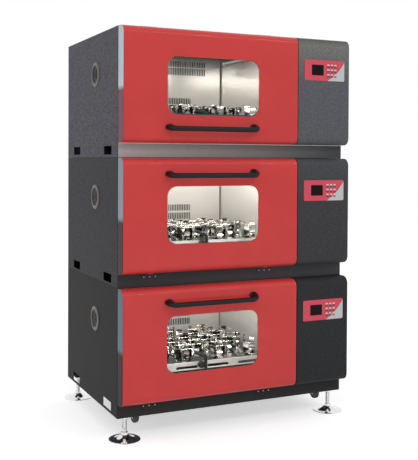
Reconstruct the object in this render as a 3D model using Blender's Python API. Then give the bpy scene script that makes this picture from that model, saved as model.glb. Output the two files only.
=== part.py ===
"""Stack of three incubator shakers on levelling feet and casters.

Each tier is a sheet-metal casing on a base pan, with a steel chamber behind a glazed door, a
tray of flask clamps on an eccentric drive, and a control bay behind a curved cover. Lengths are
in metres. Within a tier X runs from the left wall, Y from the front plane to the back, and Z
from the tier's underside. The origin of the whole is on the floor, at the middle of its box.
"""
import math

import bmesh
import bpy
from mathutils import Matrix, Vector

# Clearances
SEAT_GAP = 0.0003
RUN_GAP = 0.0006
OVERRUN = 0.01
SINK = 0.001
WELD_DISTANCE = 0.000003

# Casing and stack
TIER_NAMES = ("bottom", "middle", "top")
WIDTH = 1.256
DEPTH = 0.841
TIER_HEIGHT = 0.620
SHEET = 0.002
SLOT_LENGTH = 0.116
SLOT_HEIGHT = 0.042
SLOT_CENTRE_HEIGHT = 0.034
SLOT_FROM_FRONT = 0.150
SLOT_FROM_BACK = 0.174

# Mains inlet at the back of each tier
INLET_WIDTH = 0.062
INLET_HEIGHT = 0.034
INLET_DEPTH = 0.030
INLET_WALL = 0.004
INLET_FROM_RIGHT = 0.120
INLET_CENTRE_HEIGHT = 0.105

# Base pan
DECK_HEIGHT = 0.058
DECK_SHEET = 0.003
STRIP_RISE = 0.004

# Chamber liner
LINER_SHEET = 0.0015
CHAMBER_LEFT = 0.040
CHAMBER_FROM_DOOR_END = 0.038
CHAMBER_FLOOR = 0.122
CHAMBER_BELOW_TOP = 0.035
CHAMBER_FROM_BACK = 0.041
SHAFT_HOLE_RADIUS = 0.030
LAMP_LENGTH = 0.300
LAMP_HEIGHT = 0.018
LAMP_PROUD = 0.022
LAMP_EDGE_BEVEL = 0.005
LAMP_BELOW_ROOF = 0.0335
LAMP_FROM_BAFFLE = 0.075

# Air baffle at the back of the chamber
BAFFLE_SHEET = 0.0015
PLENUM_DEPTH = 0.060
GRILLE_SLOT_WIDTH = 0.120
GRILLE_SLOT_GAP = 0.035
GRILLE_ROW_HEIGHT = 0.036
GRILLE_ROW_GAP = 0.010
UPPER_GRILLE_MARGIN = 0.110
UPPER_GRILLE_BELOW_ROOF = 0.066
LOWER_GRILLE_MARGIN = 0.188
LOWER_GRILLE_ABOVE_FLOOR = 0.181

# Circulation fan
FAN_RADIUS = 0.046
FAN_HUB_RADIUS = 0.016
FAN_HUB_LENGTH = 0.016
FAN_SHAFT_RADIUS = 0.004
FAN_BLADES = 5
FAN_BLADE_WIDTH = 0.022
FAN_BLADE_SHEET = 0.002
FAN_BLADE_PITCH_DEG = 32.0
FAN_BOSS_RADIUS = 0.018
FAN_BOSS_LENGTH = 0.016
FAN_FROM_CHAMBER_LEFT = 0.160
FAN_BELOW_ROOF = 0.066

# Door, the same in all tiers but for its hinge and handle
DOOR_STRIP_GAP = 0.003
DOOR_BELOW_TOP = 0.002
FRONT_DEPTH = 0.070
FRONT_EDGE_RADIUS = 0.038
DOOR_SKIN = 0.0015
DOOR_VENT_WIDTH = 0.030
DOOR_VENT_DEPTH = 0.008
SEAL_DEPTH = 0.0045
SEAL_WIDTH = 0.014
SEAL_OVERLAP = 0.004
SEAL_CORNER_RADIUS = 0.030

# Window
WINDOW_LEFT = 0.226
WINDOW_FROM_RIGHT = 0.223
WINDOW_FROM_BOTTOM = 0.137
WINDOW_FROM_TOP = 0.136
WINDOW_CORNER_RADIUS = 0.050
WINDOW_GLASS = 0.006
WINDOW_INSET = 0.0015
WINDOW_LEDGE = 0.006
WINDOW_LIP = 0.012
WINDOW_RECESS = 0.035

# Handle
HANDLE_LEFT = 0.213
HANDLE_FROM_RIGHT = 0.230
HANDLE_RADIUS = 0.0125
HANDLE_STANDOFF = 0.0485
HANDLE_BEND_RADIUS = 0.040
HANDLE_ROOT_HALF_WIDTH = 0.023
HANDLE_ROOT_RISE = 0.012
HANDLE_ABOVE_WINDOW = 0.056
HANDLE_BELOW_WINDOW = 0.067

# Door hinges
HINGE_FROM_LEFT = 0.162
HINGE_FROM_RIGHT = 0.153
HINGE_WIDTH = 0.085
HINGE_RADIUS = 0.004
HINGE_KNUCKLE_GAP = 0.0005
HINGE_LEAF_SHEET = 0.002
HINGE_LEAF_BOTTOM = 0.035
HINGE_LEAF_DEPTH = 0.024
TOP_HINGE_SET_BACK = 0.0245
HINGE_LINK_HALF = 0.003
HINGE_LINK_INSET = 0.0008
HINGE_CLEARANCE = 0.0005

# Control cover and keypad
COVER_WALL = 0.003
COVER_DOOR_GAP = 0.004
KEYPAD_FROM_LEFT = 0.035
KEYPAD_FROM_RIGHT = 0.031
KEYPAD_FROM_TOP = 0.112
KEYPAD_HEIGHT = 0.106
KEYPAD_SHEET = 0.0015
KEYPAD_CORNER_RADIUS = 0.008
DISPLAY_FROM_LEFT = 0.043
DISPLAY_WIDTH = 0.071
DISPLAY_FROM_BOTTOM = 0.027
DISPLAY_HEIGHT = 0.054
DISPLAY_RISE = 0.0008
KEY_COLUMNS = 3
KEY_ROWS = 3
KEY_WIDTH = 0.014
KEY_HEIGHT = 0.018
KEY_COLUMN_PITCH = 0.0215
KEY_ROW_PITCH = 0.025
KEYS_FROM_DISPLAY = 0.022
KEYS_FROM_RIGHT = 0.050
KEY_FIRST_FROM_BOTTOM = 0.027
KEY_RISE = 0.0010

# Side port
PORT_FROM_FRONT = 0.342
PORT_BELOW_TOP = 0.2015
PORT_RADIUS = 0.062
PORT_RING_WIDTH = 0.016
PORT_CREST_WIDTH = 0.003
PORT_PROUD = 0.006
PORT_EDGE = 0.002
PORT_WALL_LAP = 0.010
PORT_RECESS = 0.003
PORT_PLUG_DEPTH = 0.020

# Tray with flask clamps
TRAY_LEFT_GAP = 0.030
TRAY_RIGHT_GAP = 0.035
TRAY_FRONT = 0.135
TRAY_BACK_GAP = 0.075
TRAY_ABOVE_FLOOR = 0.076
TRAY_SHEET = 0.003
TRAY_FLANGE = 0.041
TRAY_SLOT_LENGTH = 0.120
TRAY_SLOT_HEIGHT = 0.010
TRAY_SLOT_GAP = 0.0565
TRAY_SLOT_BELOW_TOP = 0.026
TRAY_SLOT_OFFSET = 0.041
CLAMP_HALF_PITCH = 0.0964
CLAMP_ROW_PITCH = 0.085
CLAMP_ROW_FROM_EDGE = 0.050
CLAMP_ARMS = 4
CLAMP_FIRST_ARM_DEG = 45.0
CLAMP_FOOT_RADIUS = 0.046
CLAMP_RING_RADIUS = 0.055
CLAMP_LIP_RADIUS = 0.060
CLAMP_ARM_HEIGHT = 0.063
CLAMP_LIP_HEIGHT = 0.073
CLAMP_ARM_WIDTH = 0.026
CLAMP_STRIP = 0.0015

# Eccentric drive under the tray
ORBIT_RADIUS = 0.0125
HUB_RADIUS = 0.034
PIN_RADIUS = 0.011
PIN_TOP_GAP = 0.004
CRANK_DISC_RADIUS = 0.032
CRANK_DISC_BELOW_TRAY = 0.036
CRANK_DISC_THICKNESS = 0.014
WEIGHT_RADIUS = 0.085
WEIGHT_HALF_ANGLE_DEG = 62.0
SHAFT_RADIUS = 0.014
SHAFT_ABOVE_DECK = 0.014
MOTOR_RADIUS = 0.088
MOTOR_NECK_RADIUS = 0.024
MOTOR_BELOW_CHAMBER = 0.016
MOTOR_NECK_BELOW_CHAMBER = 0.006

# Tray lock at the front of the tray
LOCK_FROM_TRAY_LEFT = 0.430
LOCK_BELOW_TOP = 0.017
LOCK_HUB_RADIUS = 0.018
LOCK_HUB_DEPTH = 0.016
LOCK_ARM_RADIUS = 0.008
LOCK_POST_OFFSET = 0.025
LOCK_POST_DROP = 0.020
LOCK_POST_RISE = 0.040
LOCK_TIP_OFFSET = -0.040
LOCK_TIP_RISE = 0.066

# Levelling feet
FLOOR_GAP = 0.115
FOOT_FROM_SIDE = 0.050
FOOT_FROM_END = 0.035
FOOT_DISC_RADIUS = 0.078
FOOT_RIM = 0.005
FOOT_SHOULDER_RADIUS = 0.058
FOOT_SHOULDER = 0.011
FOOT_NECK_RADIUS = 0.019
FOOT_NECK = 0.027
FOOT_STEM_RADIUS = 0.011
FOOT_STEM_BELOW_DECK = 0.004
FOOT_NUT_RADIUS = 0.018
FOOT_NUT_HEIGHT = 0.012
FOOT_NUT_SIDES = 6
FOOT_BOSS_HALF = 0.018
FOOT_BOSS_BOTTOM = 0.001

# Casters
CASTER_FROM_SIDE = 0.114
CASTER_FROM_END = 0.081
CASTER_TRAIL = 0.015
WHEEL_RADIUS = 0.032
WHEEL_WIDTH = 0.024
WHEEL_BOTTOM = -0.049
WHEEL_EDGE = 0.004
AXLE_RADIUS = 0.005
FORK_SHEET = 0.003
FORK_BELOW_DECK = 0.020
FORK_CROWN = 0.004
FORK_ARM_HALF_TOP = 0.018
FORK_ARM_HALF_BOTTOM = 0.009
FORK_PIN_RADIUS = 0.006
FORK_PIN_LENGTH = 0.012
FORK_CROWN_RADIUS = 0.022
CASTER_PAD_HALF = 0.024

# Facets
EDGE_STEPS = 4
CORNER_STEPS = 4
RECESS_STEPS = 2
SMALL_CORNER_STEPS = 1
SHAFT_STEPS = 8
HOLE_STEPS = 12
ROUND_STEPS = 14
FOOT_STEPS = 16
TUBE_SIDES = 8
BEND_STEPS = 4
SMOOTH_ANGLE_DEG = 32.0
FLAT_ANGLE = 0.002

# Places worked out from the sizes above
BACK_WALL_INSIDE = DEPTH - SHEET
ROOF_TOP = TIER_HEIGHT - SEAT_GAP
ROOF_UNDERSIDE = ROOF_TOP - SHEET
DECK_TOP = DECK_HEIGHT + DECK_SHEET
STRIP_HEIGHT = DECK_TOP + STRIP_RISE
KEY_FIRST_FROM_LEFT = DISPLAY_FROM_LEFT + DISPLAY_WIDTH + KEYS_FROM_DISPLAY + KEY_WIDTH / 2
KEYPAD_WIDTH = KEY_FIRST_FROM_LEFT + (KEY_COLUMNS - 1) * KEY_COLUMN_PITCH + KEY_WIDTH / 2 + KEYS_FROM_RIGHT
CONTROL_BAY_WIDTH = COVER_DOOR_GAP + KEYPAD_FROM_LEFT + KEYPAD_WIDTH + KEYPAD_FROM_RIGHT
DOOR_WIDTH = WIDTH - CONTROL_BAY_WIDTH
DOOR_BOTTOM = STRIP_HEIGHT + DOOR_STRIP_GAP
DOOR_TOP = TIER_HEIGHT - DOOR_BELOW_TOP
DOOR_BACK = -SEAL_DEPTH
PANEL_FRONT = -FRONT_DEPTH
KEYPAD_BOTTOM = DOOR_TOP - KEYPAD_FROM_TOP - KEYPAD_HEIGHT
CHAMBER_RIGHT = DOOR_WIDTH - CHAMBER_FROM_DOOR_END
CHAMBER_MIDDLE = (CHAMBER_LEFT + CHAMBER_RIGHT) / 2
CHAMBER_ROOF = TIER_HEIGHT - CHAMBER_BELOW_TOP
CHAMBER_DEPTH = DEPTH - CHAMBER_FROM_BACK
BAFFLE_FRONT = CHAMBER_DEPTH - PLENUM_DEPTH
FAN_X = CHAMBER_LEFT + FAN_FROM_CHAMBER_LEFT
FAN_Z = CHAMBER_ROOF - FAN_BELOW_ROOF
PORT_CENTRE_HEIGHT = TIER_HEIGHT - PORT_BELOW_TOP
PORT_HOLE_RADIUS = PORT_RADIUS - PORT_WALL_LAP
WINDOW_RIGHT = DOOR_WIDTH - WINDOW_FROM_RIGHT
WINDOW_BOTTOM = DOOR_BOTTOM + WINDOW_FROM_BOTTOM
WINDOW_TOP = DOOR_TOP - WINDOW_FROM_TOP
HANDLE_RIGHT = DOOR_WIDTH - HANDLE_FROM_RIGHT
LOW_HINGE_Z = DOOR_BOTTOM - HINGE_RADIUS - HINGE_CLEARANCE
LOW_HINGE_Y = DOOR_BACK - HINGE_RADIUS
TOP_HINGE_Z = ROOF_TOP + HINGE_RADIUS + HINGE_CLEARANCE
TOP_HINGE_Y = DOOR_BACK + TOP_HINGE_SET_BACK
TOP_LEAF_FRONT = TOP_HINGE_Y + HINGE_RADIUS + HINGE_CLEARANCE
TOP_ARM_LOW = ROOF_TOP + 2 * HINGE_CLEARANCE
TOP_ARM_HIGH = TOP_ARM_LOW + HINGE_LEAF_SHEET
TRAY_LEFT = CHAMBER_LEFT + TRAY_LEFT_GAP
TRAY_RIGHT = CHAMBER_RIGHT - TRAY_RIGHT_GAP
TRAY_BACK = BAFFLE_FRONT - TRAY_BACK_GAP
TRAY_TOP = CHAMBER_FLOOR + TRAY_ABOVE_FLOOR
TRAY_MIDDLE_X = (TRAY_LEFT + TRAY_RIGHT) / 2
TRAY_MIDDLE_Y = (TRAY_FRONT + TRAY_BACK) / 2
TRAY_SLOT_PITCH = TRAY_SLOT_LENGTH + TRAY_SLOT_GAP
TRAY_SLOTS = int((TRAY_RIGHT - TRAY_LEFT - 2 * TRAY_SLOT_OFFSET + TRAY_SLOT_GAP) / TRAY_SLOT_PITCH)
CLAMPS_PER_ROW = int(((TRAY_RIGHT - TRAY_LEFT) / 2 - CLAMP_LIP_RADIUS) / CLAMP_HALF_PITCH + 1 / 2)
CLAMP_ROWS = int((TRAY_BACK - TRAY_FRONT - 2 * CLAMP_ROW_FROM_EDGE) / CLAMP_ROW_PITCH) + 1
SHAFT_X = TRAY_MIDDLE_X
SHAFT_Y = TRAY_MIDDLE_Y + ORBIT_RADIUS
SHAFT_BOTTOM = DECK_TOP + SHAFT_ABOVE_DECK
CRANK_DISC_TOP = TRAY_TOP - CRANK_DISC_BELOW_TRAY
MOTOR_TOP = CHAMBER_FLOOR - MOTOR_BELOW_CHAMBER
MOTOR_NECK_TOP = CHAMBER_FLOOR - MOTOR_NECK_BELOW_CHAMBER
FOOT_STEM_TOP = DECK_HEIGHT - FOOT_STEM_BELOW_DECK
FORK_TOP = DECK_HEIGHT - FORK_BELOW_DECK
WHEEL_CENTRE_Z = WHEEL_BOTTOM + WHEEL_RADIUS
HANDLE_FRONT = PANEL_FRONT - SEAT_GAP - HANDLE_STANDOFF - HANDLE_RADIUS
FOOT_BACK = DEPTH - FOOT_FROM_END + FOOT_DISC_RADIUS
CENTRE_X = WIDTH / 2
CENTRE_Y = (HANDLE_FRONT + FOOT_BACK) / 2
ORIGIN = Vector((0, 0, 0))


# Flat outlines, as lists of points
def arc(u, v, radius, start_deg, end_deg, steps):
    angles = [math.radians(start_deg + (end_deg - start_deg) * i / steps) for i in range(steps + 1)]
    return [(u + radius * math.cos(a), v + radius * math.sin(a)) for a in angles]


def circle(u, v, radius, steps):
    return arc(u, v, radius, 0, 360 - 360 / steps, steps - 1)


def bore_radius(shaft_radius, steps):
    """Radius whose facets, at their middles, still clear a turning shaft."""
    return (shaft_radius + RUN_GAP) / math.cos(math.pi / steps)


def rectangle(low_u, low_v, high_u, high_v):
    return [(low_u, low_v), (high_u, low_v), (high_u, high_v), (low_u, high_v)]


def rounded_rectangle(low_u, low_v, high_u, high_v, radius, steps):
    return (arc(high_u - radius, low_v + radius, radius, -90, 0, steps)
            + arc(high_u - radius, high_v - radius, radius, 0, 90, steps)
            + arc(low_u + radius, high_v - radius, radius, 90, 180, steps)
            + arc(low_u + radius, low_v + radius, radius, 180, 270, steps))


def front_outline(front, back, low, high, radius):
    """Side view of the door and the control cover: a flat face with rounded long edges."""
    return (arc(front + radius, low + radius, radius, 270, 180, EDGE_STEPS)
            + arc(front + radius, high - radius, radius, 180, 90, EDGE_STEPS)
            + [(back, high), (back, low)])


# Solids, as bmeshes
def on_axis(axis, u, v, w):
    return {"X": (w, u, v), "Y": (u, w, v), "Z": (u, v, w)}[axis]


def prism(outline, axis, low, high, holes=()):
    """A flat outline with holes, pulled along an axis from low to high."""
    shape = bmesh.new()
    edges = []
    for loop in (outline, *holes):
        ring = [shape.verts.new(on_axis(axis, u, v, low)) for u, v in loop]
        edges += [shape.edges.new(pair) for pair in zip(ring, ring[1:] + ring[:1])]
    bmesh.ops.triangle_fill(shape, use_beauty=True, edges=edges)
    pulled = bmesh.ops.extrude_face_region(shape, geom=shape.faces[:])
    moved = [item for item in pulled["geom"] if isinstance(item, bmesh.types.BMVert)]
    bmesh.ops.translate(shape, verts=moved, vec=Vector(on_axis(axis, 0, 0, high - low)))
    bmesh.ops.recalc_face_normals(shape, faces=shape.faces[:])
    return shape


def block(low, high):
    return prism(rectangle(low[0], low[1], high[0], high[1]), "Z", low[2], high[2])


def cylinder(axis, u, v, radius, low, high, steps):
    return prism(circle(u, v, radius, steps), axis, low, high)


def turned(profile, axis, u, v, steps):
    """A closed profile of (radius, height) points, turned about an axis through (u, v)."""
    shape = bmesh.new()
    rings = []
    for radius, height in profile:
        if radius == 0:
            rings.append([shape.verts.new(on_axis(axis, u, v, height))] * steps)
        else:
            rings.append([shape.verts.new(on_axis(axis, *point, height))
                          for point in circle(u, v, radius, steps)])
    for ring, following in zip(rings, rings[1:] + rings[:1]):
        for i in range(steps):
            j = (i + 1) % steps
            corners = [ring[i], ring[j], following[j], following[i]]
            corners = [c for k, c in enumerate(corners) if c not in corners[:k]]
            if len(corners) > 2:
                shape.faces.new(corners)
    bmesh.ops.recalc_face_normals(shape, faces=shape.faces[:])
    return shape


def lofted(rings):
    """Skin over a row of rings of points, closed by a cap at each end."""
    shape = bmesh.new()
    loops = [[shape.verts.new(point) for point in ring] for ring in rings]
    for loop, following in zip(loops, loops[1:]):
        for i in range(len(loop)):
            j = (i + 1) % len(loop)
            shape.faces.new((loop[i], loop[j], following[j], following[i]))
    shape.faces.new(loops[0])
    shape.faces.new(loops[-1])
    bmesh.ops.recalc_face_normals(shape, faces=shape.faces[:])
    return shape


def together(shapes):
    """Solids that don't meet, gathered so that one Boolean can use them all."""
    whole = bmesh.new()
    for shape in shapes:
        mesh = bpy.data.meshes.new("gathered")
        shape.to_mesh(mesh)
        shape.free()
        whole.from_mesh(mesh)
        bpy.data.meshes.remove(mesh)
    return whole


def temporary_object(shape):
    mesh = bpy.data.meshes.new("temporary")
    shape.to_mesh(mesh)
    shape.free()
    item = bpy.data.objects.new("temporary", mesh)
    bpy.context.scene.collection.objects.link(item)
    return item


def combined(shape, tool, operation):
    body = temporary_object(shape)
    other = temporary_object(tool)
    modifier = body.modifiers.new(operation.title(), "BOOLEAN")
    modifier.operation = operation
    modifier.object = other
    graph = bpy.context.evaluated_depsgraph_get()
    mesh = bpy.data.meshes.new_from_object(body.evaluated_get(graph))
    result = bmesh.new()
    result.from_mesh(mesh)
    for item in (body, other):
        data = item.data
        bpy.data.objects.remove(item)
        bpy.data.meshes.remove(data)
    bpy.data.meshes.remove(mesh)
    bmesh.ops.remove_doubles(result, verts=result.verts[:], dist=WELD_DISTANCE)
    bmesh.ops.dissolve_limit(result, angle_limit=FLAT_ANGLE, verts=result.verts[:],
                             edges=result.edges[:])
    return result


def joined(shape, *tools):
    for tool in tools:
        shape = combined(shape, tool, "UNION")
    return shape


def cut(shape, *tools):
    for tool in tools:
        shape = combined(shape, tool, "DIFFERENCE")
    return shape


def material(name, colour, roughness, metallic=0.0, alpha=1.0):
    paint = bpy.data.materials.new(name)
    paint.use_nodes = True
    shader = paint.node_tree.nodes["Principled BSDF"]
    shader.inputs["Base Color"].default_value = (*colour, 1.0)
    shader.inputs["Roughness"].default_value = roughness
    shader.inputs["Metallic"].default_value = metallic
    shader.inputs["Alpha"].default_value = alpha
    return paint


def mesh_of(name, shape, paint, pivot=ORIGIN):
    """The finished mesh of a piece, with its pivot at the mesh's own origin."""
    bmesh.ops.translate(shape, verts=shape.verts[:], vec=-Vector(pivot))
    mesh = bpy.data.meshes.new(name)
    shape.to_mesh(mesh)
    shape.free()
    mesh.materials.append(paint)
    mesh.shade_smooth()
    mesh.set_sharp_from_angle(angle=math.radians(SMOOTH_ANGLE_DEG))
    return mesh


def place(name, mesh, holder, pivot=ORIGIN, holder_pivot=ORIGIN):
    piece = bpy.data.objects.new(name, mesh)
    piece.parent = holder
    piece.location = Vector(pivot) - Vector(holder_pivot)
    bpy.context.scene.collection.objects.link(piece)
    return piece


def frame_empty(name, location, holder=None):
    empty = bpy.data.objects.new(name, None)
    empty.parent = holder
    empty.location = location
    bpy.context.scene.collection.objects.link(empty)
    return empty


# Hinge knuckles along X: the fixed leaf holds the outer two and the door the middle one
def hinge_centres():
    return (HINGE_FROM_LEFT, DOOR_WIDTH - HINGE_FROM_RIGHT)


def knuckle_spans(centre):
    third = HINGE_WIDTH / 3
    low = centre - HINGE_WIDTH / 2
    high = centre + HINGE_WIDTH / 2
    outer = [(low, low + third - HINGE_KNUCKLE_GAP), (high - third + HINGE_KNUCKLE_GAP, high)]
    return outer, (low + third, high - third)


def knuckle(y, z, span):
    return cylinder("X", y, z, HINGE_RADIUS, span[0], span[1], SHAFT_STEPS)


def link(span, near, far, low, high):
    """Web that carries a knuckle, a little shorter than the knuckle."""
    return block((span[0] + HINGE_LINK_INSET, near, low), (span[1] - HINGE_LINK_INSET, far, high))


def with_low_leaves(pan):
    """Fixed leaves of a drop-down door, on the front strip of its base pan."""
    for centre in hinge_centres():
        outer, _ = knuckle_spans(centre)
        leaf = block((centre - HINGE_WIDTH / 2, -HINGE_LEAF_SHEET, HINGE_LEAF_BOTTOM),
                     (centre + HINGE_WIDTH / 2, SINK, LOW_HINGE_Z - HINGE_RADIUS + SINK))
        pan = joined(pan, leaf)
        low = LOW_HINGE_Z - HINGE_RADIUS + HINGE_CLEARANCE
        for span in outer:
            web = link(span, LOW_HINGE_Y - HINGE_CLEARANCE, SINK, low, low + HINGE_LINK_HALF)
            pan = joined(pan, web, knuckle(LOW_HINGE_Y, LOW_HINGE_Z, span))
    return pan


def with_top_leaves(casing):
    """Fixed leaves of the lift-up door, on the roof of its casing."""
    for centre in hinge_centres():
        outer, _ = knuckle_spans(centre)
        leaf = block((centre - HINGE_WIDTH / 2, TOP_LEAF_FRONT, ROOF_TOP - SINK),
                     (centre + HINGE_WIDTH / 2, TOP_LEAF_FRONT + HINGE_LEAF_DEPTH, ROOF_TOP + HINGE_LEAF_SHEET))
        casing = joined(casing, leaf)
        for span in outer:
            web = link(span, TOP_HINGE_Y + HINGE_CLEARANCE, TOP_LEAF_FRONT + SINK, ROOF_TOP - SINK,
                       TOP_HINGE_Z - HINGE_CLEARANCE)
            casing = joined(casing, web, knuckle(TOP_HINGE_Y, TOP_HINGE_Z, span))
    return casing


# Fixed pieces of a tier
def casing_shape(with_hinges):
    """Roof, sides and back of folded sheet, open at the front and below."""
    outside = block(ORIGIN, (WIDTH, DEPTH, ROOF_TOP))
    inside = block((SHEET, -OVERRUN, -OVERRUN), (WIDTH - SHEET, BACK_WALL_INSIDE, ROOF_UNDERSIDE))
    low = SLOT_CENTRE_HEIGHT - SLOT_HEIGHT / 2
    slots = []
    for centre in (SLOT_FROM_FRONT, DEPTH - SLOT_FROM_BACK):
        outline = rectangle(centre - SLOT_LENGTH / 2, low, centre + SLOT_LENGTH / 2, low + SLOT_HEIGHT)
        slots.append(prism(outline, "X", -OVERRUN, WIDTH + OVERRUN))
    hole = cylinder("X", PORT_FROM_FRONT, PORT_CENTRE_HEIGHT, PORT_HOLE_RADIUS,
                    -OVERRUN, OVERRUN, ROUND_STEPS)
    shell = cut(outside, inside, together(slots + [hole]))
    shell = with_mains_inlet(shell)
    return with_top_leaves(shell) if with_hinges else shell


def with_mains_inlet(shell):
    """A socket for the mains lead, sunk into the back panel."""
    middle = WIDTH - INLET_FROM_RIGHT
    half, tall = INLET_WIDTH / 2, INLET_HEIGHT / 2
    outside = block((middle - half, DEPTH - INLET_DEPTH, INLET_CENTRE_HEIGHT - tall),
                    (middle + half, DEPTH - SHEET / 2, INLET_CENTRE_HEIGHT + tall))
    inside = block((middle - half + INLET_WALL, DEPTH - INLET_DEPTH + INLET_WALL,
                    INLET_CENTRE_HEIGHT - tall + INLET_WALL),
                   (middle + half - INLET_WALL, DEPTH + OVERRUN,
                    INLET_CENTRE_HEIGHT + tall - INLET_WALL))
    return cut(joined(shell, outside), inside)


def pan_shape(is_bottom, with_hinges):
    """Front strip, deck and back flange folded from one sheet."""
    back = BACK_WALL_INSIDE - SEAT_GAP
    side_view = [(0, 0), (SHEET, 0), (SHEET, DECK_HEIGHT), (back - SHEET, DECK_HEIGHT),
                 (back - SHEET, 0), (back, 0), (back, DECK_TOP), (SHEET, DECK_TOP),
                 (SHEET, STRIP_HEIGHT), (0, STRIP_HEIGHT)]
    pan = prism(side_view, "X", SHEET + SEAT_GAP, WIDTH - SHEET - SEAT_GAP)
    if with_hinges:
        pan = with_low_leaves(pan)
    if is_bottom:
        pan = with_foot_bosses(pan)
        pan = with_caster_bosses(pan)
    return pan


def corners(from_side, from_end):
    return {"front_left": (from_side, from_end),
            "front_right": (WIDTH - from_side, from_end),
            "back_left": (from_side, DEPTH - from_end),
            "back_right": (WIDTH - from_side, DEPTH - from_end)}


def with_foot_bosses(pan):
    bosses, bores = [], []
    for x, y in corners(FOOT_FROM_SIDE, FOOT_FROM_END).values():
        bosses.append(block((x - FOOT_BOSS_HALF, y - FOOT_BOSS_HALF, FOOT_BOSS_BOTTOM),
                            (x + FOOT_BOSS_HALF, y + FOOT_BOSS_HALF, DECK_HEIGHT + SINK)))
        bores.append(cylinder("Z", x, y, bore_radius(FOOT_STEM_RADIUS, SHAFT_STEPS), -OVERRUN,
                              FOOT_STEM_TOP + RUN_GAP, SHAFT_STEPS))
    return cut(joined(pan, together(bosses)), together(bores))


def with_caster_bosses(pan):
    bosses, bores = [], []
    for x, y in corners(CASTER_FROM_SIDE, CASTER_FROM_END).values():
        bosses.append(block((x - CASTER_PAD_HALF, y - CASTER_PAD_HALF, FORK_TOP + SEAT_GAP),
                            (x + CASTER_PAD_HALF, y + CASTER_PAD_HALF, DECK_HEIGHT + SINK)))
        bores.append(cylinder("Z", x, y, bore_radius(FORK_PIN_RADIUS, SHAFT_STEPS), FORK_TOP - OVERRUN,
                              FORK_TOP + FORK_PIN_LENGTH + RUN_GAP, SHAFT_STEPS))
    return cut(joined(pan, together(bosses)), together(bores))


def chamber_shape():
    """Steel liner with a front panel that closes the whole front of the tier round it."""
    outside = block((CHAMBER_LEFT - LINER_SHEET, 0, CHAMBER_FLOOR - LINER_SHEET),
                    (CHAMBER_RIGHT + LINER_SHEET, CHAMBER_DEPTH + LINER_SHEET,
                     CHAMBER_ROOF + LINER_SHEET))
    panel = block((SHEET + SEAT_GAP, 0, STRIP_HEIGHT + SEAT_GAP),
                  (WIDTH - SHEET - SEAT_GAP, LINER_SHEET, ROOF_UNDERSIDE - SEAT_GAP))
    inside = block((CHAMBER_LEFT, -OVERRUN, CHAMBER_FLOOR),
                   (CHAMBER_RIGHT, CHAMBER_DEPTH, CHAMBER_ROOF))
    shaft_hole = cylinder("Z", SHAFT_X, SHAFT_Y, SHAFT_HOLE_RADIUS,
                          CHAMBER_FLOOR - OVERRUN, CHAMBER_FLOOR + OVERRUN, HOLE_STEPS)
    liner = cut(joined(outside, panel), inside, shaft_hole)
    boss = cylinder("Y", FAN_X, FAN_Z, FAN_BOSS_RADIUS, CHAMBER_DEPTH - FAN_BOSS_LENGTH,
                    CHAMBER_DEPTH + LINER_SHEET / 2, SHAFT_STEPS)
    bore = cylinder("Y", FAN_X, FAN_Z, bore_radius(FAN_SHAFT_RADIUS, SHAFT_STEPS),
                    CHAMBER_DEPTH - FAN_BOSS_LENGTH - OVERRUN, CHAMBER_DEPTH - LINER_SHEET,
                    SHAFT_STEPS)
    return cut(joined(liner, lamp_shape(), boss), bore)


def lamp_shape():
    """Cover of the tube lamp, high on the right wall of the chamber."""
    middle = CHAMBER_ROOF - LAMP_BELOW_ROOF
    low, high = middle - LAMP_HEIGHT / 2, middle + LAMP_HEIGHT / 2
    wall, face = CHAMBER_RIGHT + LINER_SHEET / 2, CHAMBER_RIGHT - LAMP_PROUD
    side_view = [(wall, low), (wall, high), (face + LAMP_EDGE_BEVEL, high),
                 (face, high - LAMP_EDGE_BEVEL), (face, low + LAMP_EDGE_BEVEL),
                 (face + LAMP_EDGE_BEVEL, low)]
    back = BAFFLE_FRONT - LAMP_FROM_BAFFLE
    return prism(side_view, "Y", back - LAMP_LENGTH, back)


def slot_rows(margin, middle_height):
    """Two rows of grille slots, as many as fit between the margins."""
    pitch = GRILLE_SLOT_WIDTH + GRILLE_SLOT_GAP
    count = int((CHAMBER_RIGHT - CHAMBER_LEFT - 2 * margin + GRILLE_SLOT_GAP) / pitch)
    first = CHAMBER_MIDDLE - (count - 1) * pitch / 2
    slots = []
    for low in (middle_height - GRILLE_ROW_GAP / 2 - GRILLE_ROW_HEIGHT,
                middle_height + GRILLE_ROW_GAP / 2):
        for i in range(count):
            x = first + i * pitch
            slots.append(rectangle(x - GRILLE_SLOT_WIDTH / 2, low, x + GRILLE_SLOT_WIDTH / 2,
                                   low + GRILLE_ROW_HEIGHT))
    return slots


def baffle_shape():
    """Slotted air guide across the back of the chamber, with side flanges to the back wall."""
    left, right = CHAMBER_LEFT + SEAT_GAP, CHAMBER_RIGHT - SEAT_GAP
    low, high = CHAMBER_FLOOR + SEAT_GAP, CHAMBER_ROOF - SEAT_GAP
    back = CHAMBER_DEPTH - SEAT_GAP
    slots = (slot_rows(UPPER_GRILLE_MARGIN, CHAMBER_ROOF - UPPER_GRILLE_BELOW_ROOF)
             + slot_rows(LOWER_GRILLE_MARGIN, CHAMBER_FLOOR + LOWER_GRILLE_ABOVE_FLOOR))
    face = prism(rectangle(left, low, right, high), "Y", BAFFLE_FRONT,
                 BAFFLE_FRONT + BAFFLE_SHEET, slots)
    inner_face = BAFFLE_FRONT + BAFFLE_SHEET / 2
    flanges = [block((left, inner_face, low), (left + BAFFLE_SHEET, back, high)),
               block((right - BAFFLE_SHEET, inner_face, low), (right, back, high))]
    return joined(face, together(flanges))


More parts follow.
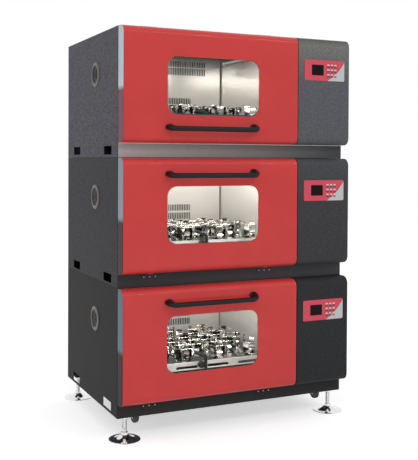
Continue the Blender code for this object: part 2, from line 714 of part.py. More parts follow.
def seal_shape():
    """Rubber gasket round the chamber's mouth."""
    inner = SEAL_OVERLAP
    outer = SEAL_OVERLAP + SEAL_WIDTH
    rings = [rounded_rectangle(CHAMBER_LEFT - reach, CHAMBER_FLOOR - reach, CHAMBER_RIGHT + reach,
                               CHAMBER_ROOF + reach, SEAL_CORNER_RADIUS + reach, SMALL_CORNER_STEPS)
             for reach in (outer, inner)]
    return prism(rings[0], "Y", DOOR_BACK + SEAT_GAP, -SEAT_GAP, [rings[1]])


def cover_shape():
    """Curved cover of the control bay, a shell open to the back."""
    left = DOOR_WIDTH + COVER_DOOR_GAP
    outside = prism(front_outline(PANEL_FRONT, -SEAT_GAP, DOOR_BOTTOM, DOOR_TOP, FRONT_EDGE_RADIUS),
                    "X", left, WIDTH)
    inside = prism(front_outline(PANEL_FRONT + COVER_WALL, OVERRUN, DOOR_BOTTOM + COVER_WALL,
                                 DOOR_TOP - COVER_WALL, FRONT_EDGE_RADIUS - COVER_WALL),
                   "X", left + COVER_WALL, WIDTH - COVER_WALL)
    return cut(outside, inside)


def keypad_shape():
    """Membrane keypad: one flexible sheet with a display window and raised keys."""
    right = WIDTH - KEYPAD_FROM_RIGHT
    left = right - KEYPAD_WIDTH
    back = PANEL_FRONT - SEAT_GAP
    front = back - KEYPAD_SHEET
    sheet = prism(rounded_rectangle(left, KEYPAD_BOTTOM, right, KEYPAD_BOTTOM + KEYPAD_HEIGHT,
                                    KEYPAD_CORNER_RADIUS, SMALL_CORNER_STEPS), "Y", front, back)
    middle = (front + back) / 2
    low = KEYPAD_BOTTOM + DISPLAY_FROM_BOTTOM
    raised = [block((left + DISPLAY_FROM_LEFT, front - DISPLAY_RISE, low),
                    (left + DISPLAY_FROM_LEFT + DISPLAY_WIDTH, middle, low + DISPLAY_HEIGHT))]
    for column in range(KEY_COLUMNS):
        x = left + KEY_FIRST_FROM_LEFT + column * KEY_COLUMN_PITCH
        for row in range(KEY_ROWS):
            z = KEYPAD_BOTTOM + KEY_FIRST_FROM_BOTTOM + row * KEY_ROW_PITCH
            raised.append(block((x - KEY_WIDTH / 2, front - KEY_RISE, z - KEY_HEIGHT / 2),
                                (x + KEY_WIDTH / 2, middle, z + KEY_HEIGHT / 2)))
    return joined(sheet, together(raised))


def port_shape():
    """Round port in the left wall: a sloped steel ring and a plug sunk inside its crest."""
    ring_inside = PORT_RADIUS - PORT_RING_WIDTH
    plug_face = PORT_RECESS - PORT_PROUD
    profile = [(0, plug_face), (ring_inside, plug_face), (ring_inside, -PORT_PROUD),
               (ring_inside + PORT_CREST_WIDTH, -PORT_PROUD), (PORT_RADIUS, -PORT_EDGE),
               (PORT_RADIUS, -SEAT_GAP),
               (PORT_HOLE_RADIUS - RUN_GAP, -SEAT_GAP),
               (PORT_HOLE_RADIUS - RUN_GAP, PORT_PLUG_DEPTH), (0, PORT_PLUG_DEPTH)]
    return turned(profile, "X", PORT_FROM_FRONT, PORT_CENTRE_HEIGHT, ROUND_STEPS)


def motor_shape():
    """Flat direct-drive motor on the deck, with a bearing neck for the crank's shaft."""
    bore = bore_radius(SHAFT_RADIUS, SHAFT_STEPS)
    floor = SHAFT_BOTTOM - RUN_GAP
    profile = [(0, DECK_TOP + SEAT_GAP), (MOTOR_RADIUS, DECK_TOP + SEAT_GAP),
               (MOTOR_RADIUS, MOTOR_TOP), (MOTOR_NECK_RADIUS, MOTOR_TOP),
               (MOTOR_NECK_RADIUS, MOTOR_NECK_TOP), (bore, MOTOR_NECK_TOP), (bore, floor),
               (0, floor)]
    return turned(profile, "Z", SHAFT_X, SHAFT_Y, SHAFT_STEPS)


# Moving pieces of a tier
def door_shape(is_top):
    body = prism(front_outline(PANEL_FRONT, DOOR_BACK, DOOR_BOTTOM, DOOR_TOP, FRONT_EDGE_RADIUS),
                 "X", 0, DOOR_WIDTH)
    glass_back = PANEL_FRONT + WINDOW_INSET + WINDOW_GLASS + SEAT_GAP
    rebate = prism(window_outline(0), "Y", PANEL_FRONT - OVERRUN, glass_back)
    aperture = prism(window_outline(WINDOW_LEDGE), "Y", PANEL_FRONT - OVERRUN, OVERRUN)
    recess = prism(window_outline(-WINDOW_RECESS, RECESS_STEPS), "Y", PANEL_FRONT + WINDOW_LIP, OVERRUN)
    body = cut(body, door_cavity(is_top), rebate, aperture, recess)
    for centre in hinge_centres():
        _, span = knuckle_spans(centre)
        if is_top:
            riser = link(span, DOOR_BACK - HINGE_LINK_HALF, DOOR_BACK - HINGE_CLEARANCE,
                         DOOR_TOP - SINK, TOP_ARM_HIGH)
            arm = link(span, DOOR_BACK - HINGE_LINK_HALF - SINK, TOP_HINGE_Y - HINGE_CLEARANCE,
                       TOP_ARM_LOW, TOP_ARM_HIGH + SINK)
            body = joined(body, riser, arm, knuckle(TOP_HINGE_Y, TOP_HINGE_Z, span))
        else:
            web = link(span, LOW_HINGE_Y - HINGE_LINK_HALF, LOW_HINGE_Y + HINGE_LINK_HALF,
                       LOW_HINGE_Z + HINGE_CLEARANCE, DOOR_BOTTOM + SINK)
            body = joined(body, web, knuckle(LOW_HINGE_Y, LOW_HINGE_Z, span))
    return body


def door_cavity(is_top):
    """Space between the door's skins, round the window frame, with a vent in the hinge edge."""
    cavity = prism(front_outline(PANEL_FRONT + DOOR_SKIN, DOOR_BACK - DOOR_SKIN,
                                 DOOR_BOTTOM + DOOR_SKIN, DOOR_TOP - DOOR_SKIN,
                                 FRONT_EDGE_RADIUS - DOOR_SKIN),
                   "X", DOOR_SKIN, DOOR_WIDTH - DOOR_SKIN)
    reach = WINDOW_RECESS + DOOR_SKIN * 2
    frame = block((WINDOW_LEFT - reach, PANEL_FRONT - OVERRUN, WINDOW_BOTTOM - reach),
                  (WINDOW_RIGHT + reach, OVERRUN, WINDOW_TOP + reach))
    edge = DOOR_TOP if is_top else DOOR_BOTTOM
    vent = block((DOOR_WIDTH / 2 - DOOR_VENT_WIDTH / 2, PANEL_FRONT / 2 - DOOR_VENT_DEPTH / 2,
                  edge - DOOR_SKIN * 2),
                 (DOOR_WIDTH / 2 + DOOR_VENT_WIDTH / 2, PANEL_FRONT / 2 + DOOR_VENT_DEPTH / 2,
                  edge + DOOR_SKIN * 2))
    return joined(cut(cavity, frame), vent)


def window_outline(inset, steps=CORNER_STEPS):
    return rounded_rectangle(WINDOW_LEFT + inset, WINDOW_BOTTOM + inset, WINDOW_RIGHT - inset,
                             WINDOW_TOP - inset, WINDOW_CORNER_RADIUS - inset, steps)


def window_shape():
    front = PANEL_FRONT + WINDOW_INSET
    return prism(window_outline(SEAT_GAP), "Y", front, front + WINDOW_GLASS)


def handle_shape(bar_height):
    """Bowed tube: each end sweeps back to the door and widens into its root."""
    rings = []
    for step in range(BEND_STEPS + 1):
        share = step / BEND_STEPS
        turn = math.radians(90 * share)
        x = HANDLE_LEFT + HANDLE_RADIUS + HANDLE_BEND_RADIUS * (1 - math.cos(turn))
        y = PANEL_FRONT - SEAT_GAP - HANDLE_STANDOFF * math.sin(turn)
        z = bar_height + HANDLE_ROOT_RISE * (1 - share) ** 2
        widening = (HANDLE_ROOT_HALF_WIDTH - HANDLE_RADIUS) * (1 - share) ** 3
        half_width = HANDLE_RADIUS + widening
        side = Vector((math.cos(turn), math.sin(turn), 0))
        centre = Vector((x + widening, y, z))
        up = Vector((0, 0, HANDLE_RADIUS))
        rings.append([centre + side * half_width * math.cos(a) + up * math.sin(a)
                      for a in (math.tau * i / TUBE_SIDES for i in range(TUBE_SIDES))])
    both_ends = HANDLE_LEFT + HANDLE_RIGHT
    mirrored = [[Vector((both_ends - p.x, p.y, p.z)) for p in ring] for ring in reversed(rings)]
    return lofted(rings + mirrored)


def clamp_arm(x, y, angle):
    """A bent spring-steel strip: it leans out to the flask's widest place and ends in a lip."""
    base = TRAY_TOP - TRAY_SHEET / 2
    side_view = [(CLAMP_FOOT_RADIUS, base), (CLAMP_FOOT_RADIUS - CLAMP_STRIP, base),
                 (CLAMP_RING_RADIUS, TRAY_TOP + CLAMP_ARM_HEIGHT),
                 (CLAMP_LIP_RADIUS, TRAY_TOP + CLAMP_LIP_HEIGHT)]
    arm = prism(side_view, "Y", -CLAMP_ARM_WIDTH / 2, CLAMP_ARM_WIDTH / 2)
    bmesh.ops.transform(arm, matrix=Matrix.Translation((x, y, 0)) @ Matrix.Rotation(angle, 4, "Z"),
                        verts=arm.verts[:])
    return arm


def clamp_centres():
    """Staggered rows, the front one set half a pitch to the right."""
    first_y = TRAY_MIDDLE_Y - (CLAMP_ROWS - 1) * CLAMP_ROW_PITCH / 2
    first_x = TRAY_MIDDLE_X - (CLAMPS_PER_ROW - 1 / 2) * CLAMP_HALF_PITCH
    for row in range(CLAMP_ROWS):
        shift = CLAMP_HALF_PITCH * ((row + 1) % 2)
        for column in range(CLAMPS_PER_ROW):
            yield first_x + shift + 2 * CLAMP_HALF_PITCH * column, first_y + CLAMP_ROW_PITCH * row


def platform_shape():
    """Folded tray with its flask clamps and the bearing hub under it."""
    outside = block((TRAY_LEFT, TRAY_FRONT, TRAY_TOP - TRAY_FLANGE), (TRAY_RIGHT, TRAY_BACK, TRAY_TOP))
    inside = block((TRAY_LEFT + TRAY_SHEET, TRAY_FRONT + TRAY_SHEET, TRAY_TOP - TRAY_FLANGE - OVERRUN),
                   (TRAY_RIGHT - TRAY_SHEET, TRAY_BACK - TRAY_SHEET, TRAY_TOP - TRAY_SHEET))
    slots = []
    for i in range(TRAY_SLOTS):
        middle = TRAY_MIDDLE_X + TRAY_SLOT_OFFSET + (i - (TRAY_SLOTS - 1) / 2) * TRAY_SLOT_PITCH
        low = TRAY_TOP - TRAY_SLOT_BELOW_TOP - TRAY_SLOT_HEIGHT / 2
        slots.append(block((middle - TRAY_SLOT_LENGTH / 2, TRAY_FRONT - OVERRUN, low),
                           (middle + TRAY_SLOT_LENGTH / 2, TRAY_FRONT + OVERRUN,
                            low + TRAY_SLOT_HEIGHT)))
    tray = cut(outside, inside, together(slots))
    arms = [clamp_arm(x, y, math.radians(CLAMP_FIRST_ARM_DEG + 360 / CLAMP_ARMS * i))
            for x, y in clamp_centres() for i in range(CLAMP_ARMS)]
    hub_bottom = CRANK_DISC_TOP + SEAT_GAP
    hub = cylinder("Z", TRAY_MIDDLE_X, TRAY_MIDDLE_Y, HUB_RADIUS, hub_bottom,
                   TRAY_TOP - TRAY_SHEET / 2, HOLE_STEPS)
    bore = cylinder("Z", TRAY_MIDDLE_X, TRAY_MIDDLE_Y, bore_radius(PIN_RADIUS, SHAFT_STEPS),
                    hub_bottom - OVERRUN, TRAY_TOP - TRAY_SHEET - SINK, SHAFT_STEPS)
    return cut(joined(tray, together(arms), hub), bore)


def crank_shape():
    """Shaft, disc with a balance weight, and the eccentric pin that carries the tray."""
    low = CRANK_DISC_TOP - CRANK_DISC_THICKNESS
    shaft = cylinder("Z", SHAFT_X, SHAFT_Y, SHAFT_RADIUS, SHAFT_BOTTOM, low + SINK, SHAFT_STEPS)
    disc = cylinder("Z", SHAFT_X, SHAFT_Y, CRANK_DISC_RADIUS, low, CRANK_DISC_TOP, HOLE_STEPS)
    sector = [(SHAFT_X, SHAFT_Y)] + arc(SHAFT_X, SHAFT_Y, WEIGHT_RADIUS, 90 - WEIGHT_HALF_ANGLE_DEG,
                                        90 + WEIGHT_HALF_ANGLE_DEG, EDGE_STEPS)
    weight = prism(sector, "Z", low, CRANK_DISC_TOP)
    pin_top = TRAY_TOP - TRAY_SHEET - SINK - PIN_TOP_GAP
    pin = cylinder("Z", TRAY_MIDDLE_X, TRAY_MIDDLE_Y, PIN_RADIUS, CRANK_DISC_TOP - SINK, pin_top,
                   SHAFT_STEPS)
    return joined(disc, weight, shaft, pin)


def fan_shape():
    back = CHAMBER_DEPTH - FAN_BOSS_LENGTH - RUN_GAP
    front = back - FAN_HUB_LENGTH
    fan = cylinder("Y", FAN_X, FAN_Z, FAN_HUB_RADIUS, front, back, SHAFT_STEPS)
    blades = []
    for i in range(FAN_BLADES):
        blade = block((FAN_HUB_RADIUS - SINK * 2, -FAN_BLADE_SHEET / 2, -FAN_BLADE_WIDTH / 2),
                      (FAN_RADIUS, FAN_BLADE_SHEET / 2, FAN_BLADE_WIDTH / 2))
        pitched = Matrix.Rotation(math.radians(FAN_BLADE_PITCH_DEG), 4, "X")
        around = Matrix.Rotation(math.tau * i / FAN_BLADES, 4, "Y")
        moved = Matrix.Translation((FAN_X, (front + back) / 2, FAN_Z))
        bmesh.ops.transform(blade, matrix=moved @ around @ pitched, verts=blade.verts[:])
        blades.append(blade)
    shaft = cylinder("Y", FAN_X, FAN_Z, FAN_SHAFT_RADIUS, back - SINK,
                     CHAMBER_DEPTH - LINER_SHEET - RUN_GAP, SHAFT_STEPS)
    return joined(fan, together(blades), shaft)


def lock_pivot():
    return (TRAY_LEFT + LOCK_FROM_TRAY_LEFT, TRAY_FRONT - SEAT_GAP, TRAY_TOP - LOCK_BELOW_TOP)


def lock_shape():
    """Cam lever on the tray's front flange: a hub and a cranked arm."""
    x, back, z = lock_pivot()
    front = back - LOCK_HUB_DEPTH
    hub = cylinder("Y", x, z, LOCK_HUB_RADIUS, front, back, HOLE_STEPS)
    middle = (front + back) / 2
    route = [Vector((x + LOCK_POST_OFFSET, middle, z - LOCK_POST_DROP)),
             Vector((x + LOCK_POST_OFFSET, middle, z + LOCK_POST_RISE)),
             Vector((x + LOCK_TIP_OFFSET, middle, z + LOCK_TIP_RISE))]
    post, arm = [(end - start).normalized() for start, end in zip(route, route[1:])]
    ways = [post, (post + arm).normalized(), arm]
    rings = []
    for centre, way in zip(route, ways):
        side = Vector((way.z, 0, -way.x))
        stretch = 1 / abs(way.dot(post)) if way is ways[1] else 1
        rings.append([centre + side * LOCK_ARM_RADIUS * stretch * math.cos(a)
                      + Vector((0, LOCK_ARM_RADIUS * math.sin(a), 0))
                      for a in (math.tau * i / TUBE_SIDES for i in range(TUBE_SIDES))])
    web = block((x, middle - LOCK_ARM_RADIUS / 2, z - LOCK_ARM_RADIUS),
                (x + LOCK_POST_OFFSET, middle + LOCK_ARM_RADIUS / 2, z + LOCK_ARM_RADIUS))
    return joined(hub, web, lofted(rings))


# Feet and casters
def foot_shape(x, y):
    """Bell-shaped disc on a threaded stem, with a lock nut at each end of the stem."""
    floor = -FLOOR_GAP
    neck = floor + FOOT_NECK
    profile = [(0, floor), (FOOT_DISC_RADIUS, floor), (FOOT_DISC_RADIUS, floor + FOOT_RIM),
               (FOOT_SHOULDER_RADIUS, floor + FOOT_SHOULDER), (FOOT_NECK_RADIUS, neck),
               (FOOT_STEM_RADIUS, neck), (FOOT_STEM_RADIUS, FOOT_STEM_TOP), (0, FOOT_STEM_TOP)]
    foot = turned(profile, "Z", x, y, FOOT_STEPS)
    under_boss = FOOT_BOSS_BOTTOM - SEAT_GAP
    nuts = [cylinder("Z", x, y, FOOT_NUT_RADIUS, neck - SINK, neck + FOOT_NUT_HEIGHT,
                     FOOT_NUT_SIDES),
            cylinder("Z", x, y, FOOT_NUT_RADIUS, under_boss - FOOT_NUT_HEIGHT, under_boss,
                     FOOT_NUT_SIDES)]
    return joined(foot, together(nuts))


def fork_shape(x, y):
    """Swivel fork: crown, kingpin, two tapered cheeks and the wheel's axle."""
    wheel_y = y - CASTER_TRAIL
    cheek_inside = WHEEL_WIDTH / 2 + RUN_GAP
    cheek_outside = cheek_inside + FORK_SHEET
    crown = cylinder("Z", x, y, FORK_CROWN_RADIUS, FORK_TOP - FORK_CROWN, FORK_TOP, SHAFT_STEPS)
    pin = cylinder("Z", x, y, FORK_PIN_RADIUS, FORK_TOP - SINK, FORK_TOP + FORK_PIN_LENGTH,
                   SHAFT_STEPS)
    cheek = [(y - FORK_ARM_HALF_TOP, FORK_TOP - SINK), (y + FORK_ARM_HALF_TOP, FORK_TOP - SINK),
             (wheel_y + FORK_ARM_HALF_BOTTOM, WHEEL_CENTRE_Z - FORK_ARM_HALF_BOTTOM),
             (wheel_y - FORK_ARM_HALF_BOTTOM, WHEEL_CENTRE_Z - FORK_ARM_HALF_BOTTOM)]
    cheeks = [prism(cheek, "X", x - cheek_outside, x - cheek_inside),
              prism(cheek, "X", x + cheek_inside, x + cheek_outside)]
    axle = cylinder("X", wheel_y, WHEEL_CENTRE_Z, AXLE_RADIUS, x - cheek_outside - FORK_SHEET,
                    x + cheek_outside + FORK_SHEET, SHAFT_STEPS)
    return joined(crown, together(cheeks), pin, axle)


def wheel_shape(x, y):
    half, rim = WHEEL_WIDTH / 2, WHEEL_RADIUS - WHEEL_EDGE
    bore = bore_radius(AXLE_RADIUS, HOLE_STEPS)
    profile = [(bore, x - half), (rim, x - half), (WHEEL_RADIUS, x - half + WHEEL_EDGE),
               (WHEEL_RADIUS, x + half - WHEEL_EDGE), (rim, x + half), (bore, x + half)]
    return turned(profile, "X", y, WHEEL_CENTRE_Z, HOLE_STEPS)


# Assembly
def paints():
    return {"red": material("door_red", (0.58, 0.055, 0.06), 0.32),
            "charcoal": material("casing_charcoal", (0.055, 0.055, 0.06), 0.55),
            "graphite": material("cover_graphite", (0.06, 0.06, 0.065), 0.5),
            "steel": material("stainless", (0.72, 0.70, 0.66), 0.28, 1.0),
            "glass": material("window_glass", (0.62, 0.78, 0.78), 0.03, 0.0, 0.25),
            "black": material("handle_black", (0.02, 0.02, 0.022), 0.3),
            "rubber": material("seal_rubber", (0.03, 0.03, 0.03), 0.8),
            "keypad": material("keypad_pink", (0.72, 0.12, 0.15), 0.4),
            "chrome": material("foot_chrome", (0.8, 0.8, 0.8), 0.12, 1.0),
            "cast": material("motor_cast", (0.35, 0.36, 0.38), 0.5, 0.8),
            "tyre": material("wheel_polyurethane", (0.03, 0.03, 0.03), 0.6)}


def build_tier(index, stack, paint):
    name = TIER_NAMES[index]
    is_bottom = index == 0
    is_top = index == len(TIER_NAMES) - 1
    tier = frame_empty("tier_" + name, (0, 0, index * TIER_HEIGHT), stack)
    fixed = {"casing": (casing_shape(is_top), "charcoal"),
             "base_pan": (pan_shape(is_bottom, not is_top), "charcoal"),
             "chamber": (chamber_shape(), "steel"),
             "air_baffle": (baffle_shape(), "steel"),
             "door_seal": (seal_shape(), "rubber"),
             "control_cover": (cover_shape(), "graphite"),
             "keypad": (keypad_shape(), "keypad"),
             "side_port": (port_shape(), "steel"),
             "drive_motor": (motor_shape(), "cast")}
    for kind, (shape, colour) in fixed.items():
        node = kind + "_" + name
        place(node, mesh_of(node, shape, paint[colour]), tier)

    hinge = (DOOR_WIDTH / 2, LOW_HINGE_Y, LOW_HINGE_Z)
    bar_height = WINDOW_TOP + HANDLE_ABOVE_WINDOW
    if is_top:
        hinge = (DOOR_WIDTH / 2, TOP_HINGE_Y, TOP_HINGE_Z)
        bar_height = WINDOW_BOTTOM - HANDLE_BELOW_WINDOW
    door = place("door_" + name, mesh_of("door_" + name, door_shape(is_top), paint["red"], hinge),
                 tier, hinge)
    for kind, shape, colour in (("window", window_shape(), "glass"),
                                ("handle", handle_shape(bar_height), "black")):
        node = kind + "_" + name
        place(node, mesh_of(node, shape, paint[colour], hinge), door, hinge, hinge)

    shaft = (SHAFT_X, SHAFT_Y, CRANK_DISC_TOP)
    pin = (TRAY_MIDDLE_X, TRAY_MIDDLE_Y, CRANK_DISC_TOP)
    crank = place("eccentric_crank_" + name,
                  mesh_of("eccentric_crank_" + name, crank_shape(), paint["cast"], shaft), tier, shaft)
    platform = place("platform_" + name,
                     mesh_of("platform_" + name, platform_shape(), paint["steel"], pin),
                     crank, pin, shaft)
    lock = lock_pivot()
    place("tray_lock_" + name, mesh_of("tray_lock_" + name, lock_shape(), paint["black"], lock),
          platform, lock, pin)
    fan = (FAN_X, CHAMBER_DEPTH, FAN_Z)
    place("fan_" + name, mesh_of("fan_" + name, fan_shape(), paint["cast"], fan), tier, fan)


def build_base(stack, paint):
    for corner, (x, y) in corners(FOOT_FROM_SIDE, FOOT_FROM_END).items():
        node = "levelling_foot_" + corner
        place(node, mesh_of(node, foot_shape(x, y), paint["chrome"], (x, y, 0)), stack, (x, y, 0))
    for corner, (x, y) in corners(CASTER_FROM_SIDE, CASTER_FROM_END).items():
        swivel = (x, y, FORK_TOP)
        axle = (x, y - CASTER_TRAIL, WHEEL_CENTRE_Z)
        node = "caster_fork_" + corner
        fork = place(node, mesh_of(node, fork_shape(x, y), paint["chrome"], swivel), stack, swivel)
        node = "caster_wheel_" + corner
        place(node, mesh_of(node, wheel_shape(x, y - CASTER_TRAIL), paint["tyre"], axle),
              fork, axle, swivel)


def build():
    for item in list(bpy.data.objects):
        bpy.data.objects.remove(item)
    paint = paints()
    stack = frame_empty("stack", (-CENTRE_X, -CENTRE_Y, FLOOR_GAP))
    for index in range(len(TIER_NAMES)):
        build_tier(index, stack, paint)
    build_base(stack, paint)


build()
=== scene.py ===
# %% [markdown]
# # A stack of three incubator shakers
#
# Three shaker cabinets stand on one another, on chromed feet. Each has a red glazed door, a
# charcoal control bay and a tray of spring clamps. The solid model is loaded first and stays where
# it is. The pieces made below use the same metres, so each only names the body it moves with.

# %% Load the solid model
import math

import bmesh
import bpy
from mathutils import Matrix, Vector


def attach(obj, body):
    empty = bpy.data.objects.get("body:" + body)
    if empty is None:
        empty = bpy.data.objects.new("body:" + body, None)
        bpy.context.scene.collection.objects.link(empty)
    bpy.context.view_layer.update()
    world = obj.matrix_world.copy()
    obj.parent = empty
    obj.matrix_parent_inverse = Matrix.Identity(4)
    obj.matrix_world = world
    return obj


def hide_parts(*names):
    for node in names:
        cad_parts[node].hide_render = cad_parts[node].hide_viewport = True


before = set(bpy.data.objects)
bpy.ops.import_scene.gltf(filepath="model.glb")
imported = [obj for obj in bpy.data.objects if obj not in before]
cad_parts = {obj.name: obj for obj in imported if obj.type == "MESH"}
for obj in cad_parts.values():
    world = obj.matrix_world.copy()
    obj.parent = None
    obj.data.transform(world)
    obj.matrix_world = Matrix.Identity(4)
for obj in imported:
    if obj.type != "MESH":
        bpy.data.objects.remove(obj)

scene = bpy.context.scene
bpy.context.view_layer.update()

# %% [markdown]
# ## Where a tier begins
#
# The three tiers are the same cabinet. Sizes below are counted within one tier: X from its left
# wall, Y from the front edge of its side walls, and Z from its underside. Adding a tier's corner
# turns them into places on the whole stack, so a piece is made once and set down three times.

# %% Tiers
TIERS = ("bottom", "middle", "top")
TIER_HEIGHT = 0.620
WIDTH = 1.256
STACK_CORNER = Vector((-0.628, -0.37635, 0.115))


def tier_corner(level):
    return STACK_CORNER + Vector((0, 0, level * TIER_HEIGHT))


print("tier corners:", [tuple(round(v, 3) for v in tier_corner(i)) for i in range(len(TIERS))])

# %% [markdown]
# ## Turning a mesh into a piece
#
# Each piece is its own object, and the three tiers share one mesh where they look the same. A
# change then reaches all three, and every object can still ride on its own moving body.

# %% Placing pieces
def mesh_from(shape, name, finishes, smooth_deg=32):
    """Close a bmesh into a mesh that shades smoothly but keeps its real corners."""
    bmesh.ops.recalc_face_normals(shape, faces=shape.faces[:])
    mesh = bpy.data.meshes.new(name)
    shape.to_mesh(mesh)
    shape.free()
    for finish in finishes:
        mesh.materials.append(finish)
    mesh.shade_smooth()
    mesh.set_sharp_from_angle(angle=math.radians(smooth_deg))
    return mesh


def added(name, data):
    item = bpy.data.objects.new(name, data)
    scene.collection.objects.link(item)
    return item


def set_down(name, data, body, corner, stands_for=()):
    """Put a mesh in place, let it ride on a body, and hide the solid parts it stands for."""
    piece = added(name, data)
    piece.location = corner
    bpy.context.view_layer.update()
    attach(piece, body)
    if stands_for:
        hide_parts(*stands_for)
    return piece


def on_every_tier(name, data, body, stands_for=None):
    """One piece on each tier; a body or node name ends in _ where the tier's name follows."""
    made = []
    for level, tier in enumerate(TIERS):
        rides_on = body + tier if body.endswith("_") else body
        replaced = (stands_for + tier,) if stands_for else ()
        own = data[level] if isinstance(data, (list, tuple)) else data
        made.append(set_down(f"{name}_{tier}", own, rides_on, tier_corner(level), replaced))
    print(f"{name}, faces on each tier:", [len(piece.data.polygons) for piece in made])
    return made


def round_edges(piece, width, segments=2, angle_deg=34):
    """A narrow bevel, so that edges catch light as folded or moulded ones do."""
    bevel = piece.modifiers.new("Edge", "BEVEL")
    bevel.width = width
    bevel.segments = segments
    bevel.limit_method = "ANGLE"
    bevel.angle_limit = math.radians(angle_deg)
    bevel.harden_normals = True
    return piece


# %% [markdown]
# ## Outlines and the solids pulled from them
#
# Sheet-metal parts are mostly flat outlines with a thickness. An outline is a list of points, a
# prism pulls it along an axis, and a turned form spins a profile. A Boolean then cuts what is left.

# %% Outline tools
def arc(u, v, radius, start_deg, end_deg, steps):
    angles = [math.radians(start_deg + (end_deg - start_deg) * i / steps) for i in range(steps + 1)]
    return [(u + radius * math.cos(a), v + radius * math.sin(a)) for a in angles]


def ring(u, v, radius, steps):
    return arc(u, v, radius, 0, 360 - 360 / steps, steps - 1)


def rectangle(low_u, low_v, high_u, high_v):
    return [(low_u, low_v), (high_u, low_v), (high_u, high_v), (low_u, high_v)]


def rounded(low_u, low_v, high_u, high_v, radius, steps=8):
    return (arc(high_u - radius, low_v + radius, radius, -90, 0, steps)
            + arc(high_u - radius, high_v - radius, radius, 0, 90, steps)
            + arc(low_u + radius, high_v - radius, radius, 90, 180, steps)
            + arc(low_u + radius, low_v + radius, radius, 180, 270, steps))


def on_axis(axis, u, v, w):
    return {"X": (w, u, v), "Y": (u, w, v), "Z": (u, v, w)}[axis]


# %% Solid tools
def prism(outline, axis, low, high, holes=()):
    """A flat outline with holes, pulled along an axis."""
    shape = bmesh.new()
    edges = []
    for loop in (outline, *holes):
        points = [shape.verts.new(on_axis(axis, u, v, low)) for u, v in loop]
        edges += [shape.edges.new(pair) for pair in zip(points, points[1:] + points[:1])]
    bmesh.ops.triangle_fill(shape, use_beauty=True, edges=edges)
    pulled = bmesh.ops.extrude_face_region(shape, geom=shape.faces[:])
    moved = [item for item in pulled["geom"] if isinstance(item, bmesh.types.BMVert)]
    bmesh.ops.translate(shape, verts=moved, vec=Vector(on_axis(axis, 0, 0, high - low)))
    bmesh.ops.recalc_face_normals(shape, faces=shape.faces[:])
    bmesh.ops.dissolve_limit(shape, angle_limit=0.002, verts=shape.verts[:], edges=shape.edges[:])
    return shape


def block(low, high):
    return prism(rectangle(low[0], low[1], high[0], high[1]), "Z", low[2], high[2])


def turned(profile, axis, u, v, steps):
    """A closed profile of (radius, height) points, spun about an axis through (u, v)."""
    shape = bmesh.new()
    loops = []
    for radius, height in profile:
        if radius == 0:
            loops.append([shape.verts.new(on_axis(axis, u, v, height))] * steps)
        else:
            loops.append([shape.verts.new(on_axis(axis, *point, height))
                          for point in ring(u, v, radius, steps)])
    for loop, following in zip(loops, loops[1:] + loops[:1]):
        for i in range(steps):
            j = (i + 1) % steps
            around = [loop[i], loop[j], following[j], following[i]]
            around = [c for k, c in enumerate(around) if c not in around[:k]]
            if len(around) > 2:
                shape.faces.new(around)
    return shape


def gathered(*shapes):
    """Several solids as the parts of one mesh."""
    whole = bmesh.new()
    for shape in shapes:
        mesh = bpy.data.meshes.new("gathered")
        shape.to_mesh(mesh)
        shape.free()
        whole.from_mesh(mesh)
        bpy.data.meshes.remove(mesh)
    return whole


def in_finish(shape, index):
    """Give all faces of a shape one of the piece's finishes."""
    for face in shape.faces:
        face.material_index = index
    return shape


def combined(shape, tool, operation="DIFFERENCE"):
    """Cut or join by a Boolean modifier that is applied at once."""
    items = []
    for part in (shape, tool):
        mesh = bpy.data.meshes.new("boolean")
        part.to_mesh(mesh)
        part.free()
        items.append(added("boolean", mesh))
    modifier = items[0].modifiers.new("Boolean", "BOOLEAN")
    modifier.operation = operation
    modifier.object = items[1]
    graph = bpy.context.evaluated_depsgraph_get()
    mesh = bpy.data.meshes.new_from_object(items[0].evaluated_get(graph))
    result = bmesh.new()
    result.from_mesh(mesh)
    bpy.data.meshes.remove(mesh)
    for item in items:
        data = item.data
        bpy.data.objects.remove(item)
        bpy.data.meshes.remove(data)
    bmesh.ops.remove_doubles(result, verts=result.verts[:], dist=0.000003)
    bmesh.ops.dissolve_limit(result, angle_limit=0.002, verts=result.verts[:], edges=result.edges[:])
    return result


# %% [markdown]
# ## Finishes
#
# Every finish is a node graph on one shader. A real surface is never one flat colour, so each
# graph mixes two close tones by a noise of the real scale, and a noise also moves the roughness
# or the surface a little. Values that are the same everywhere are set on the shader's sockets.

# %% Finish tools
def new_finish(name, roughness, metallic=0.0, specular=0.5):
    finish = bpy.data.materials.new(name)
    finish.use_nodes = True
    shader = finish.node_tree.nodes["Principled BSDF"]
    shader.inputs["Roughness"].default_value = roughness
    shader.inputs["Metallic"].default_value = metallic
    shader.inputs["Specular IOR Level"].default_value = specular
    return finish, shader


def noise(finish, scale, stretch=(1, 1, 1), detail=2.0):
    """Noise in the object's own metres, stretched where the grain has a direction."""
    tree = finish.node_tree
    place = tree.nodes.new("ShaderNodeTexCoord")
    mapping = tree.nodes.new("ShaderNodeMapping")
    mapping.inputs["Scale"].default_value = stretch
    texture = tree.nodes.new("ShaderNodeTexNoise")
    texture.inputs["Scale"].default_value = scale
    texture.inputs["Detail"].default_value = detail
    tree.links.new(place.outputs["Object"], mapping.inputs["Vector"])
    tree.links.new(mapping.outputs["Vector"], texture.inputs["Vector"])
    return texture.outputs["Fac"]


def between(finish, value, low, high, start=0.35, end=0.65):
    """Spread a noise value over two tones."""
    ramp = finish.node_tree.nodes.new("ShaderNodeValToRGB")
    ramp.color_ramp.elements[0].position = start
    ramp.color_ramp.elements[1].position = end
    ramp.color_ramp.elements[0].color = (*low, 1)
    ramp.color_ramp.elements[1].color = (*high, 1)
    finish.node_tree.links.new(value, ramp.inputs["Fac"])
    return ramp.outputs["Color"]


